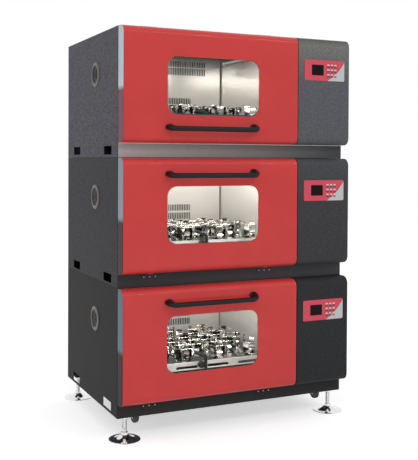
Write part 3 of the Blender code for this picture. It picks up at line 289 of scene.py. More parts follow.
def remapped(tree, value, to_low, to_high, from_low=0.0, from_high=1.0):
    """Carry a value from one range of numbers to another."""
    span = tree.nodes.new("ShaderNodeMapRange")
    ends = {"From Min": from_low, "From Max": from_high, "To Min": to_low, "To Max": to_high}
    for socket, end in ends.items():
        span.inputs[socket].default_value = end
    tree.links.new(value, span.inputs["Value"])
    return span.outputs["Result"]


def raise_skin(finish, shader, value, height, strength=1.0):
    """Use a noise as fine relief, with its height in metres."""
    bump = finish.node_tree.nodes.new("ShaderNodeBump")
    bump.inputs["Strength"].default_value = strength
    bump.inputs["Distance"].default_value = height
    finish.node_tree.links.new(value, bump.inputs["Height"])
    finish.node_tree.links.new(bump.outputs["Normal"], shader.inputs["Normal"])


def tinted(colour, factor):
    return tuple(channel * factor for channel in colour)


def colour_by(finish, shader, shade):
    finish.node_tree.links.new(shade, shader.inputs["Base Color"])


# %% [markdown]
# ### Red enamel
#
# The doors are sprayed in a smooth, slightly glossy red. A thin clear coat gives a line of light
# along the rounded upper edge, and a very shallow ripple keeps that line from looking drawn.

# %% Red enamel
def red_enamel(name, colour):
    finish, shader = new_finish(name, 0.34, specular=0.12)
    shader.inputs["Coat Weight"].default_value = 0.28
    shader.inputs["Coat Roughness"].default_value = 0.06
    cloud = noise(finish, 6, detail=2)
    shade = between(finish, cloud, tinted(colour, 0.97), tinted(colour, 1.03))
    colour_by(finish, shader, shade)
    raise_skin(finish, shader, noise(finish, 260, detail=1), 0.00003, 0.2)
    return finish


door_red = red_enamel("door_red_enamel", (0.643, 0.0484, 0.0463))

# %% [markdown]
# ### Steels
#
# Rolled stainless sheet has a grain in one direction: noise that is stretched along the rolling
# direction changes both colour and roughness.

# %% Steels
def rolled_steel(name, colour, roughness, metallic, stretch):
    finish, shader = new_finish(name, roughness, metallic)
    grain = noise(finish, 90, stretch, detail=4)
    shade = between(finish, grain, tinted(colour, 0.94), tinted(colour, 1.04))
    colour_by(finish, shader, shade)
    dull = remapped(finish.node_tree, grain, roughness * 0.85, roughness * 1.2, 0.3, 0.7)
    finish.node_tree.links.new(dull, shader.inputs["Roughness"])
    raise_skin(finish, shader, grain, 0.00002, 0.4)
    return finish


liner_steel = rolled_steel("liner_steel", (0.80, 0.78, 0.74), 0.34, 0.35, (0.15, 1, 8))
tray_steel = rolled_steel("tray_steel", (0.88, 0.88, 0.86), 0.3, 0.2, (0.1, 6, 6))
# The tray's top is steel darkened nearly to black: painted shade.
tray_top_painted_shade = rolled_steel("tray_top_painted_shade", (0.045, 0.046, 0.042), 0.3, 0.5, (0.1, 6, 6))
wire_steel = rolled_steel("wire_steel", (0.84, 0.82, 0.79), 0.15, 1.0, (1, 1, 1))
port_steel = rolled_steel("port_steel", (0.135, 0.118, 0.102), 0.42, 0.3, (1, 1, 1))
foot_chrome = rolled_steel("foot_chrome", (0.80, 0.80, 0.81), 0.14, 1.0, (1, 1, 1))
fork_zinc = rolled_steel("fork_zinc", (0.55, 0.55, 0.57), 0.35, 0.9, (1, 1, 1))
screw_steel = rolled_steel("screw_steel", (0.62, 0.62, 0.63), 0.3, 0.9, (1, 1, 1))

# %% [markdown]
# ### Polished springs
#
# Bent spring strips are small curved mirrors. A plain mirror in a pale chamber would look pale all
# over, so soft dark patches of painted reflection, as wide as a strip, stand for what the strips of
# the real tray mirror.

# %% Polished springs
def polished_spring():
    finish, shader = new_finish("spring_steel", 0.14, 1.0)
    painted_reflection_patches = noise(finish, 24, (1, 1, 1.6), detail=2)
    shade = between(finish, painted_reflection_patches, (0.045, 0.043, 0.038), (0.95, 0.93, 0.90), 0.46, 0.54)
    colour_by(finish, shader, shade)
    raise_skin(finish, shader, noise(finish, 220, detail=2), 0.0001, 0.4)
    return finish


spring_steel = polished_spring()

# %% [markdown]
# ### Plastics, rubber and castings
#
# Moulded and cast surfaces differ in gloss and in the size of their grain, so one maker serves
# them all, with a colour, a roughness and a grain size for each.

# %% Plain finishes
def moulded(name, colour, roughness, grain_size=0.002, relief=0.00005, metallic=0.0, spread=0.08,
            specular=0.5):
    finish, shader = new_finish(name, roughness, metallic, specular)
    grain = noise(finish, 1 / grain_size, detail=2)
    shade = between(finish, grain, tinted(colour, 1 - spread), tinted(colour, 1 + spread))
    colour_by(finish, shader, shade)
    if relief:
        raise_skin(finish, shader, grain, relief, 0.5)
    return finish


handle_black = moulded("handle_black", (0.008, 0.008, 0.009), 0.32, 0.004, 0, specular=0.2)
lock_black = moulded("lock_black", (0.026, 0.030, 0.030), 0.4, specular=0.3)
plug_black = moulded("plug_black", (0.028, 0.030, 0.030), 0.5, 0.005, 0.0003, specular=0.2, spread=0.6)
seal_rubber = moulded("seal_rubber", (0.025, 0.025, 0.026), 0.75, 0.001)
tyre_rubber = moulded("tyre_rubber", (0.02, 0.026, 0.03), 0.45, 0.002)
motor_cast = moulded("motor_cast", (0.33, 0.34, 0.36), 0.5, 0.003, 0.0001, 0.7)
crank_iron = moulded("crank_iron", (0.25, 0.25, 0.26), 0.5, 0.003, 0.0001, 0.8)
fan_metal = moulded("fan_metal", (0.5, 0.5, 0.52), 0.35, 0.004, 0.00002, 0.9)
socket_black = moulded("socket_black", (0.015, 0.015, 0.015), 0.5)

# %% [markdown]
# ### Colours as they look on screen
#
# It is easier to name a colour by how it looks than by how much light it returns. Screen values
# are bent by a curve, and the shader wants the straight ones, so this turns one into the other.

# %% Screen colours
def shown(red, green, blue):
    """Straight colour values for a screen colour of 0 to 255."""
    levels = [channel / 255 for channel in (red, green, blue)]
    return tuple(v / 12.92 if v <= 0.04045 else ((v + 0.055) / 1.055) ** 2.4 for v in levels)


def place_in(finish):
    """Place in the piece's own metres, for finishes that change along X, Y or Z."""
    tree = finish.node_tree
    place = tree.nodes.new("ShaderNodeTexCoord")
    split = tree.nodes.new("ShaderNodeSeparateXYZ")
    tree.links.new(place.outputs["Object"], split.inputs["Vector"])
    return split.outputs


def graded(finish, axis, stops):
    """A ramp of colours along an axis of the piece: stops are (place in metres, colour)."""
    tree = finish.node_tree
    low, high = stops[0][0], stops[-1][0]
    ramp = tree.nodes.new("ShaderNodeValToRGB")
    elements = ramp.color_ramp.elements
    for i, (length, colour) in enumerate(stops):
        position = (length - low) / (high - low)
        element = elements[i] if i < 2 else elements.new(position)
        element.position = position
        element.color = (*colour, 1)
    value = place_in(finish)[axis]
    tree.links.new(remapped(tree, value, 0, 1, low, high), ramp.inputs["Fac"])
    return ramp.outputs["Color"]


def speckled(finish, shader, colour, grain, low=0.9, high=1.08):
    """Multiply a colour by a noise, and put the result on the shader."""
    tree = finish.node_tree
    mix = tree.nodes.new("ShaderNodeMix")
    mix.data_type = "RGBA"
    mix.blend_type = "MULTIPLY"
    mix.inputs["Factor"].default_value = 1.0
    tree.links.new(colour, mix.inputs["A"])
    tree.links.new(between(finish, grain, (low,) * 3, (high,) * 3), mix.inputs["B"])
    tree.links.new(mix.outputs["Result"], shader.inputs["Base Color"])


print("a screen colour of 200, 68, 67 is", [round(v, 3) for v in shown(200, 68, 67)])

# %% [markdown]
# ### Charcoal texture paint
#
# The casings and the control bays carry a wrinkle powder coat, which breaks the light into fine
# grains. The photograph shows a lighter shade on the top tier than on the bottom one, so each
# tier gets its own shade of the same paint: painted light, lighter higher up the stack. A cover's
# colour also changes with its height: painted light and shade towards its rounded top edge.

# %% Charcoal paint
def charcoal_paint_with_painted_light(name, stops, contrast, lift=0.0):
    """Textured paint and painted light; stops are (height in the tier, colour), lift is the tier's
    height.
    """
    finish, shader = new_finish(name, 0.55, specular=0.1)
    raised = [(height + lift, colour) for height, colour in stops]
    shade = graded(finish, "Z", raised)
    speckled(finish, shader, shade, noise(finish, 160, detail=4), 1 - contrast, 1 + contrast)
    raise_skin(finish, shader, noise(finish, 330, detail=3), 0.0003, 0.5)
    return finish


# Painted light: lit and shaded copies of one charcoal, lighter on higher tiers and along a cover's
# height.
WALL_CONTRAST, COVER_CONTRAST = 0.60, 0.24
WALL_PAINTED_LIGHT_TONES = (shown(20, 19, 20), shown(48, 46, 51), shown(78, 76, 84))
COVER_PAINTED_LIGHT_STOPS = (((0.068, shown(45, 47, 49)), (0.40, shown(47, 49, 51)), (0.60, shown(49, 49, 53))),
               ((0.068, shown(62, 62, 65)), (0.40, shown(65, 65, 68)), (0.60, shown(74, 77, 80))),
               ((0.068, shown(93, 94, 99)), (0.40, shown(95, 96, 102)), (0.50, shown(108, 109, 110)),
                (0.58, shown(121, 121, 117)), (0.617, shown(87, 87, 85))))

# %% [markdown]
# ## Folded sheet metal
#
# Casings, base pans, liners, seals and drives already have their true shape in the solid model, so
# they stay and get a finish. A narrow bevel softens the folds. The vertices are welded first,
# because the loaded mesh has them split at every face.

# %% Solids that stay
def dress(node, finish, edge=0.0):
    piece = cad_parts[node]
    for place in piece.material_slots:
        place.material = finish
    if edge:
        weld = piece.modifiers.new("Weld", "WELD")
        weld.merge_threshold = 0.00002
        round_edges(piece, edge)
    return piece


# %% Chamber liners
LINER_TINT = (1.0, 0.975, 0.93)
# Painted shade by height and by tier: darker on lower tiers, and towards the roof on the top tier.
LINER_PAINTED_SHADE_SHARES = (((0.12, 0.40), (0.22, 0.50), (0.33, 0.62), (0.60, 0.66)),
                ((0.12, 0.52), (0.30, 0.68), (0.455, 0.80), (0.60, 0.70)),
                ((0.12, 0.80), (0.46, 0.86), (0.50, 0.66), (0.54, 0.38), (0.563, 0.24), (0.60, 0.05)))


def liner_with_painted_shade(level, lift):
    """Liner steel of one tier with painted shade; lift is where the tier begins in the piece's own
    height.
    """
    kind = "solid" if lift else "sheet"
    finish, shader = new_finish(f"liner_{TIERS[level]}_{kind}", 0.2, 0.35)
    stops = [(height + lift, tinted(LINER_TINT, share)) for height, share in LINER_PAINTED_SHADE_SHARES[level]]
    shade = graded(finish, "Z", stops)
    grain = noise(finish, 90, (0.15, 1, 8), detail=4)
    speckled(finish, shader, shade, grain, 0.95, 1.03)
    raise_skin(finish, shader, grain, 0.00002, 0.4)
    return finish


# %% Base pan paint
STRIP_END = 0.63


def pan_paint_with_painted_sheen(name, left, right):
    """Paint of a base pan, with a painted sheen that turns from one shade to another along the front
    strip.
    """
    finish, shader = new_finish(name, 0.5, specular=0.12)
    across = graded(finish, "X", [(-STRIP_END, left), (STRIP_END, right)])
    grain = noise(finish, 240, detail=2)
    speckled(finish, shader, across, grain)
    raise_skin(finish, shader, grain, 0.0001, 0.4)
    return finish


# Painted sheen: the top pan's strip is bright at its left end and dark at its right; lower tiers
# darker.
PAN_PAINTED_SHEEN = (((50, 49, 48), (44, 44, 45)), ((60, 60, 62), (70, 70, 73)),
              ((177, 178, 175), (72, 75, 78)))
for level, tier in enumerate(TIERS):
    left, right = PAN_PAINTED_SHEEN[level]
    wall_painted_light_stops = [(0, WALL_PAINTED_LIGHT_TONES[level]), (TIER_HEIGHT, WALL_PAINTED_LIGHT_TONES[level])]
    wall_paint = charcoal_paint_with_painted_light(f"wall_paint_{tier}", wall_painted_light_stops, WALL_CONTRAST, tier_corner(level).z)
    dress(f"casing_{tier}", wall_paint, 0.0009)
    dress(f"base_pan_{tier}", pan_paint_with_painted_sheen(f"pan_paint_{tier}", shown(*left), shown(*right)), 0.0008)
    dress(f"chamber_{tier}", liner_with_painted_shade(level, tier_corner(level).z))
    dress(f"door_seal_{tier}", seal_rubber)
    dress(f"drive_motor_{tier}", motor_cast, 0.002)
    dress(f"eccentric_crank_{tier}", crank_iron, 0.001)
    dress(f"fan_{tier}", fan_metal)
CORNERS = ("front_left", "front_right", "back_left", "back_right")
for corner in CORNERS:
    dress(f"caster_fork_{corner}", fork_zinc, 0.0008)
print("solids that stay:", 7 * len(TIERS) + len(CORNERS))

# %% [markdown]
# ## Doors
#
# Each door is a hollow red panel, 70 mm deep, whose long edges are rounded towards the front. It
# could be a box with a bevel, but the rounding is far larger than the other edges. So the side
# view is drawn once and pulled along X, and the window opening is cut through. Behind a narrow
# lip the opening is wider, so that no thick wall shows round the glass.

# %% Door section
FRONT = -0.070
DOOR_BACK = -0.0045
DOOR_LOW = 0.068
DOOR_HIGH = 0.618
DOOR_RIGHT = 0.943
EDGE_RADIUS = 0.038
CAP_THICKNESS = 0.0022
WINDOW_LOW = (0.226, 0.205)
WINDOW_HIGH = (0.720, 0.482)
WINDOW_RADIUS = 0.050
LIP = 0.008
WIDER = 0.035
TINY = 0.0001


def front_section(front, back, low, high, radius, steps=12):
    return ([(back, low)] + arc(front + radius, low + radius, radius, 270, 180, steps)
            + arc(front + radius, high - radius, radius, 180, 90, steps) + [(back, high)])


def window_outline(inset, steps=10):
    return rounded(WINDOW_LOW[0] + inset, WINDOW_LOW[1] + inset, WINDOW_HIGH[0] - inset,
                   WINDOW_HIGH[1] - inset, WINDOW_RADIUS - inset, steps)


door_section = front_section(FRONT, DOOR_BACK, DOOR_LOW, DOOR_HIGH, EDGE_RADIUS)
print("points in the door's side view:", len(door_section))

# %% Door hinges
HINGE_X = (0.162, 0.790)
KNUCKLE_HALF = 0.0142
KNUCKLE_RADIUS = 0.004
LOW_HINGE = (-0.0085, 0.0635)
TOP_HINGE = (0.0200, 0.6242)
ROOF_ARM = (0.6207, 0.6227)


def knuckles(is_top):
    """The door's own knuckles: a lifting door's stand back on its roof, on a cranked arm."""
    y, z = TOP_HINGE if is_top else LOW_HINGE
    parts = []
    for x in HINGE_X:
        left, right = x - KNUCKLE_HALF, x + KNUCKLE_HALF
        parts.append(prism(ring(y, z, KNUCKLE_RADIUS, 20), "X", left, right))
        if is_top:
            parts.append(block((left, -0.0075, DOOR_HIGH - 0.002), (right, -0.005, ROOF_ARM[1])))
            parts.append(block((left, -0.0075, ROOF_ARM[0]), (right, y - 0.0005, ROOF_ARM[1])))
        else:
            parts.append(block((left, y - 0.003, z), (right, y + 0.003, DOOR_LOW + 0.002)))
    return parts


# %% Door panels
def door_panel(is_top):
    panel = prism(door_section, "X", CAP_THICKNESS, DOOR_RIGHT)
    panel = combined(panel, prism(window_outline(0), "Y", FRONT - 0.01, 0.01))
    panel = combined(panel, prism(window_outline(-WIDER), "Y", FRONT + LIP, 0.01))
    for face in panel.faces:
        centre = face.calc_center_median()
        behind = centre.y > FRONT + LIP - TINY
        reach = WIDER + 0.001
        inside = (WINDOW_LOW[0] - reach < centre.x < WINDOW_HIGH[0] + reach
                  and WINDOW_LOW[1] - reach < centre.z < WINDOW_HIGH[1] + reach)
        at_back = centre.y > DOOR_BACK - TINY
        face.material_index = 1 if at_back or (behind and inside) else 0
    return gathered(panel, *knuckles(is_top))


panels = [mesh_from(door_panel(tier == "top"), f"door_panel_{tier}", [door_red, liner_steel])
          for tier in TIERS]
for panel in on_every_tier("door_panel", panels, "door_", "door_"):
    round_edges(panel, 0.0012)

# %% [markdown]
# ### End cap
#
# The door's left end is closed by a thin metal plate. Its colour is a painted reflection: a pale
# satin sheen above and a darker painted shade below, lighter on higher tiers. The painted colour
# follows the height of the plate, so it is on the plate from every side.

# %% End caps
CAP_PAINTED_REFLECTION = (((95, 126, 139), (16, 16, 21)),
              ((146, 162, 174), (49, 34, 41)),
              ((201, 216, 225), (113, 78, 94)))
CAP_BORDER = 0.324
CAP_BLUR = 0.012


def cap_painted_reflection(name, upper, lower):
    finish, shader = new_finish(name, 0.5, specular=0.15)
    shade = graded(finish, "Z", [(DOOR_LOW, lower), (CAP_BORDER - CAP_BLUR, lower),
                                 (CAP_BORDER + CAP_BLUR, upper), (DOOR_HIGH, tinted(upper, 0.9))])
    speckled(finish, shader, shade, noise(finish, 60, (1, 1, 0.1), 3), 0.94, 1.05)
    return finish


caps = []
for tier, (upper, lower) in zip(TIERS, CAP_PAINTED_REFLECTION):
    metal = cap_painted_reflection(f"cap_painted_reflection_{tier}", shown(*upper), shown(*lower))
    caps.append(mesh_from(prism(door_section, "X", 0, CAP_THICKNESS), f"door_end_cap_{tier}", [metal]))
for cap in on_every_tier("door_end_cap", caps, "door_"):
    round_edges(cap, 0.0005, 1)

# %% [markdown]
# ### Window
#
# The pane is clear, 6.5 mm thick, and its front edge is ground to a slope all round. That slope
# carries painted light: a line of light below, teal on the top tier, and painted glints and shade
# above, and it is nearly clear at the sides. A glass shader would bend the view and darken the
# chamber, so the pane has a nearly clear alpha, and only the slope has a colour, which is painted.

# %% Window finishes
def clear_pane(name):
    finish, shader = new_finish(name, 0.03, specular=0.2)
    grain = noise(finish, 3)
    shade = between(finish, grain, (0.05, 0.08, 0.08), (0.07, 0.10, 0.10))
    colour_by(finish, shader, shade)
    shader.inputs["Alpha"].default_value = 0.03
    return finish


# Painted light on the slope, per tier: colours below, at the sides and above.
EDGE_PAINTED_LIGHT = (((120, 128, 124), (70, 76, 76), (96, 90, 88)),
               ((60, 118, 126), (150, 158, 152), (205, 205, 196)),
               ((22, 108, 124), (150, 140, 136), (70, 66, 64)))
EDGE_WIDTHS = (0.0022, 0.0022, 0.0060)
SIDE_LOW, SIDE_HIGH = 0.24, 0.45
PANE_PLAY = 0.0003
PANE_BACK, PANE_FRONT = -0.0625, -0.0690


def edge_with_painted_light(name, low, middle, high):
    finish, shader = new_finish(name, 0.3, specular=0.2)
    bottom, top = WINDOW_LOW[1], WINDOW_HIGH[1]
    shade = graded(finish, "Z", [(bottom + 0.006, shown(*low)), (SIDE_LOW, shown(*middle)),
                                 (SIDE_HIGH, shown(*middle)), (top - 0.006, shown(*high))])
    speckled(finish, shader, shade, noise(finish, 40), 0.92, 1.05)
    cover = graded(finish, "Z", [(bottom + 0.008, (1, 1, 1)), (bottom + 0.03, (0.25, 0.25, 0.25))])
    finish.node_tree.links.new(cover, shader.inputs["Alpha"])
    return finish


pane_clear = clear_pane("pane_clear")
pane_edges = [edge_with_painted_light(f"pane_edge_{tier}", *shades) for tier, shades in zip(TIERS, EDGE_PAINTED_LIGHT)]


# %% Window panes
def pane(edge_width):
    """A pane whose front edge slopes back, made of three outlines."""
    shape = bmesh.new()
    loops = []
    for inset, y in ((PANE_PLAY, PANE_BACK), (PANE_PLAY, PANE_FRONT + edge_width / 2),
                     (edge_width, PANE_FRONT)):
        loops.append([shape.verts.new((x, y, z)) for x, z in window_outline(inset)])
    for loop, following in zip(loops, loops[1:]):
        for i in range(len(loop)):
            j = (i + 1) % len(loop)
            shape.faces.new((loop[i], loop[j], following[j], following[i])).material_index = 1
    shape.faces.new(loops[0])
    shape.faces.new(loops[-1])
    return shape


window_meshes = [mesh_from(pane(width), f"window_pane_{tier}", [pane_clear, edge], 20)
                 for tier, edge, width in zip(TIERS, pane_edges, EDGE_WIDTHS)]
on_every_tier("window_pane", window_meshes, "door_", "window_")

# %% [markdown]
# ### Handles
#
# A black bowed tube: each end sweeps back to the door and widens into a swept root. A curve with a
# bevel would keep one thickness, so rings are placed along the route, and each ring has its own
# width.

# %% Handles
HANDLE_LEFT = 0.213
HANDLE_WIDTH = 0.500
TUBE_RADIUS = 0.0125
BEND_RADIUS = 0.040
BEND_DEPTH = 0.0485
ROOT_HALF_WIDTH = 0.023
ROOT_HALF_HEIGHT = 0.015
LEFT_RISE, RIGHT_RISE = 0.008, 0.016
HANDLE_HEIGHTS = (0.542, 0.534, 0.137)


def lofted(rings):
    """Skin over rings of points, closed at both ends."""
    shape = bmesh.new()
    loops = [[shape.verts.new(point) for point in points] for points in rings]
    for loop, following in zip(loops, loops[1:]):
        for i in range(len(loop)):
            j = (i + 1) % len(loop)
            shape.faces.new((loop[i], loop[j], following[j], following[i]))
    shape.faces.new(loops[0])
    shape.faces.new(loops[-1])
    return shape


def handle_end(height, rise, steps=16, sides=24):
    """Rings from the root on the door to where the tube runs straight."""
    rings = []
    for step in range(steps + 1):
        share = step / steps
        turn = math.radians(90 * share)
        widening = (ROOT_HALF_WIDTH - TUBE_RADIUS) * (1 - share) ** 3
        thickening = (ROOT_HALF_HEIGHT - TUBE_RADIUS) * (1 - share) ** 2
        centre = Vector((HANDLE_LEFT + TUBE_RADIUS + BEND_RADIUS * (1 - math.cos(turn)) + widening,
                         FRONT - 0.0003 - BEND_DEPTH * math.sin(turn),
                         height + rise * (1 - share) ** 2))
        side = Vector((math.cos(turn), math.sin(turn), 0)) * (TUBE_RADIUS + widening)
        up = Vector((0, 0, TUBE_RADIUS + thickening))
        rings.append([centre + side * math.cos(a) + up * math.sin(a)
                      for a in (math.tau * i / sides for i in range(sides))])
    return rings


def handle(height):
    both_ends = 2 * HANDLE_LEFT + HANDLE_WIDTH
    mirrored = [[Vector((both_ends - p.x, p.y, p.z)) for p in points]
                for points in reversed(handle_end(height, RIGHT_RISE))]
    return lofted(handle_end(height, LEFT_RISE) + mirrored)


handles = [mesh_from(handle(height), f"handle_{tier}", [handle_black], 50)
           for tier, height in zip(TIERS, HANDLE_HEIGHTS)]
on_every_tier("door_handle", handles, "door_", "handle_")

# %% [markdown]
# ## Control bay
#
# The cover right of each door has the same side view as the door, in the casing's charcoal paint.
# It is a shell, open to the back.

# %% Control covers
COVER_LEFT = 0.947
COVER_WALL = 0.003


def control_cover():
    outside = prism(front_section(FRONT, -0.0003, DOOR_LOW, DOOR_HIGH, EDGE_RADIUS), "X",
                    COVER_LEFT, WIDTH)
    inside = prism(front_section(FRONT + COVER_WALL, 0.01, DOOR_LOW + COVER_WALL,
                                 DOOR_HIGH - COVER_WALL, EDGE_RADIUS - COVER_WALL), "X",
                   COVER_LEFT + COVER_WALL, WIDTH - COVER_WALL)
    return combined(outside, inside)


covers = [mesh_from(control_cover(), f"control_cover_{tier}",
                    [charcoal_paint_with_painted_light(f"cover_paint_{tier}", COVER_PAINTED_LIGHT_STOPS[level], COVER_CONTRAST)])
          for level, tier in enumerate(TIERS)]
for cover in on_every_tier("control_cover", covers, "stack", "control_cover_"):
    round_edges(cover, 0.0014)

# %% [markdown]
# ### Keypad
#
# A membrane keypad is a printed film on a thin plate. The film is pink-red, with a pale wedge that
# sweeps up to the right corner, a black display window and nine keys. The wedge is a film of its
# own, because a printed edge is sharp at any distance. The keys stay plain.

# %% Keypad finishes
film_pink = moulded("film_pink", shown(218, 84, 98), 0.5, 0.01, 0.00002, spread=0.03, specular=0.15)
film_pale = moulded("film_pale", shown(198, 205, 206), 0.5, 0.01, 0.00002, spread=0.03, specular=0.15)
display_black = moulded("display_black", (0.004, 0.003, 0.004), 0.3, 0.01, 0, specular=0.1)
key_pale = moulded("key_pale", shown(226, 196, 200), 0.45, 0.003, spread=0.05)
key_dark = moulded("key_dark", shown(96, 62, 70), 0.45, 0.003, spread=0.05)
key_orange = moulded("key_orange", shown(214, 84, 52), 0.45, 0.003, spread=0.05)

# %% Keypad
PAD_LEFT, PAD_RIGHT = 0.982, 1.225
PAD_LOW, PAD_HIGH = 0.400, 0.506
PAD_BACK = FRONT - 0.0003
PAD_FRONT = PAD_BACK - 0.0015
FILM = 0.0003
WEDGE_EDGE = [(1.1215, 0.4005), (1.150, 0.4205), (1.179, 0.443), (1.197, 0.4616), (1.2148, 0.4846),
              (1.2240, 0.4990)]
KEY_COLUMNS = (1.125, 1.1465, 1.168)
KEY_ROWS = (0.477, 0.452, 0.427)


def keypad():
    front = PAD_FRONT - FILM
    plate = prism(rounded(PAD_LEFT, PAD_LOW, PAD_RIGHT, PAD_HIGH, 0.008, 4), "Y", PAD_FRONT, PAD_BACK)
    wedge_points = WEDGE_EDGE + arc(PAD_RIGHT - 0.009, PAD_LOW + 0.009, 0.0085, 0, -90, 4)
    parts = [(plate, 0), (prism(wedge_points, "Y", front, PAD_FRONT + 0.0001), 1)]
    display = rounded(1.025, 0.427, 1.096, 0.481, 0.003, 3)
    parts.append((prism(display, "Y", PAD_FRONT - 0.0008, PAD_FRONT + 0.0001), 2))
    for row, z in enumerate(KEY_ROWS):
        for column, x in enumerate(KEY_COLUMNS):
            last = row == 2 and column == 2
            upper = rounded(x - 0.007, z + 0.001, x + 0.007, z + 0.009, 0.0015, 2)
            lower = rounded(x - 0.007, z - 0.009, x + 0.007, z + 0.0015, 0.0015, 2)
            parts.append((prism(upper, "Y", front - 0.0008, PAD_FRONT + 0.0001), 3))
            parts.append((prism(lower, "Y", front - 0.0007, PAD_FRONT + 0.0001), 5 if last else 4))
    return gathered(*[in_finish(shape, finish) for shape, finish in parts])


pad_mesh = mesh_from(keypad(), "keypad", [film_pink, film_pale, display_black, key_pale, key_dark,
                                          key_orange])
on_every_tier("keypad", pad_mesh, "stack", "keypad_")

# %% [markdown]
# ## Side port
#
# A round steel flange on the left wall with a dark plug inside it. Both are turned shapes, so each
# is a profile spun about X. The flange is crowned, which gives it a bright and a dark side.

# %% Side port
PORT_Y, PORT_Z = 0.342, 0.4185
PORT_STEPS = 64


def port_flange():
    crown = [(0.062, -0.0003), (0.062, -0.0018), (0.061, -0.0030), (0.056, -0.0047),
             (0.050, -0.0058), (0.0475, -0.0058), (0.0455, -0.0046), (0.045, -0.0030), (0.045, 0.004),
             (0.0505, 0.004), (0.0505, -0.0003)]
    return turned(crown, "X", PORT_Y, PORT_Z, PORT_STEPS)


def port_plug():
    ridges = [(0, -0.0042), (0.007, -0.0040), (0.009, -0.0010), (0.018, -0.0006), (0.020, -0.0034),
              (0.025, -0.0034), (0.027, -0.0002), (0.035, 0.0004), (0.038, -0.0024),
              (0.0445, -0.0020), (0.0445, 0.010), (0, 0.010)]
    return turned(ridges, "X", PORT_Y, PORT_Z, PORT_STEPS)


flange_mesh = mesh_from(port_flange(), "port_flange", [port_steel], 40)
plug_mesh = mesh_from(port_plug(), "port_plug", [plug_black], 30)
on_every_tier("port_flange", flange_mesh, "stack", "side_port_")
on_every_tier("port_plug", plug_mesh, "stack", "side_port_")

# %% [markdown]
# ## Air baffle
#
# A sheet with rows of narrow upright slots guides the air across the chamber. The slots could be a
# picture on a flat sheet, but then no dark depth would show through them. They are real holes:
# each outline is one loop of the sheet's outline before it is pulled to its thickness. Behind each
# row a dark sheet stands for the shade of the space behind: painted shade.

# %% Air baffle
BAFFLE_Y = 0.740
BAFFLE_SHEET = 0.0015
BAFFLE_LOW = (0.0403, 0.1223)
BAFFLE_HIGH = (0.9047, 0.5847)
BAFFLE_BACK = 0.7997
SHADE_SHEET_FRONT, SHADE_SHEET_BACK = BAFFLE_Y + 0.0018, BAFFLE_Y + 0.003
SHADE_SHEET_LAP = 0.002
BEAD_RADIUS = 0.003
LOUVRE_PITCH = 0.011
LOUVRE_WIDTH = 0.0068
LOUVRE_ROWS = ((0.529, 0.561, 0.143, 0.803), (0.481, 0.522, 0.143, 0.803),
               (0.311, 0.347, 0.237, 0.710), (0.262, 0.299, 0.237, 0.710))


def louvres():
    for low, high, left, right in LOUVRE_ROWS:
        count = int((right - left) / LOUVRE_PITCH)
        for i in range(count):
            x = left + LOUVRE_PITCH * (i + 0.5)
            yield rectangle(x - LOUVRE_WIDTH / 2, low, x + LOUVRE_WIDTH / 2, high)


def air_baffle():
    face = prism(rectangle(*BAFFLE_LOW, *BAFFLE_HIGH), "Y", BAFFLE_Y, BAFFLE_Y + BAFFLE_SHEET,
                 list(louvres()))
    low, high = BAFFLE_LOW[1], BAFFLE_HIGH[1]
    sides = [block((x, BAFFLE_Y + BAFFLE_SHEET, low), (x + BAFFLE_SHEET, BAFFLE_BACK, high))
             for x in (BAFFLE_LOW[0], BAFFLE_HIGH[0] - BAFFLE_SHEET)]
    shade_sheets = []
    for row_low, row_high, left, right in LOUVRE_ROWS:
        shade_sheet_box = block((left, SHADE_SHEET_FRONT, row_low - SHADE_SHEET_LAP),
                          (right, SHADE_SHEET_BACK, row_high + SHADE_SHEET_LAP))
        shade_sheets.append(in_finish(shade_sheet_box, 2))
    bead = turned([(BEAD_RADIUS, low), (BEAD_RADIUS, high), (0, high), (0, low)], "Z",
                  BAFFLE_HIGH[0] - BEAD_RADIUS, BAFFLE_Y - BEAD_RADIUS, 12)
    return gathered(face, *sides, *shade_sheets, in_finish(bead, 1))


def painted_shade_sheet():
    """A dark sheet of painted shade behind the louvres, a little lighter in some columns than in
    others.
    """
    finish, shader = new_finish("painted_shade_sheet", 0.9, specular=0.1)
    columns = noise(finish, 55, (1, 0.02, 0.12), detail=2)
    shade = between(finish, columns, (0.004, 0.010, 0.013), (0.11, 0.12, 0.115), 0.5, 0.7)
    colour_by(finish, shader, shade)
    return finish


bead_grey = moulded("bead_grey", shown(112, 104, 97), 0.6, 0.004, specular=0.2)
shade_sheet_finish = painted_shade_sheet()
baffle_meshes = [mesh_from(air_baffle(), f"air_baffle_{tier}",
                           [liner_with_painted_shade(level, 0), bead_grey, shade_sheet_finish])
                 for level, tier in enumerate(TIERS)]
on_every_tier("air_baffle", baffle_meshes, "stack", "air_baffle_")
print("louvres in a baffle:", len(list(louvres())))

# %% [markdown]
# ## Tray and flask clamps
#
# The tray is a folded sheet with a deep flange and dark slots in its front. It carries 24 clamps
# in staggered rows. A clamp is a round base with four bent strips of polished spring steel, held
# together by a thin wire ring under their lips.

# %% Tray
TRAY_LOW = (0.070, 0.135, 0.157)
TRAY_HIGH = (0.870, 0.665, 0.198)
TRAY_SHEET = 0.003
TRAY_SLOTS = (0.1865, 0.363, 0.5395, 0.716)


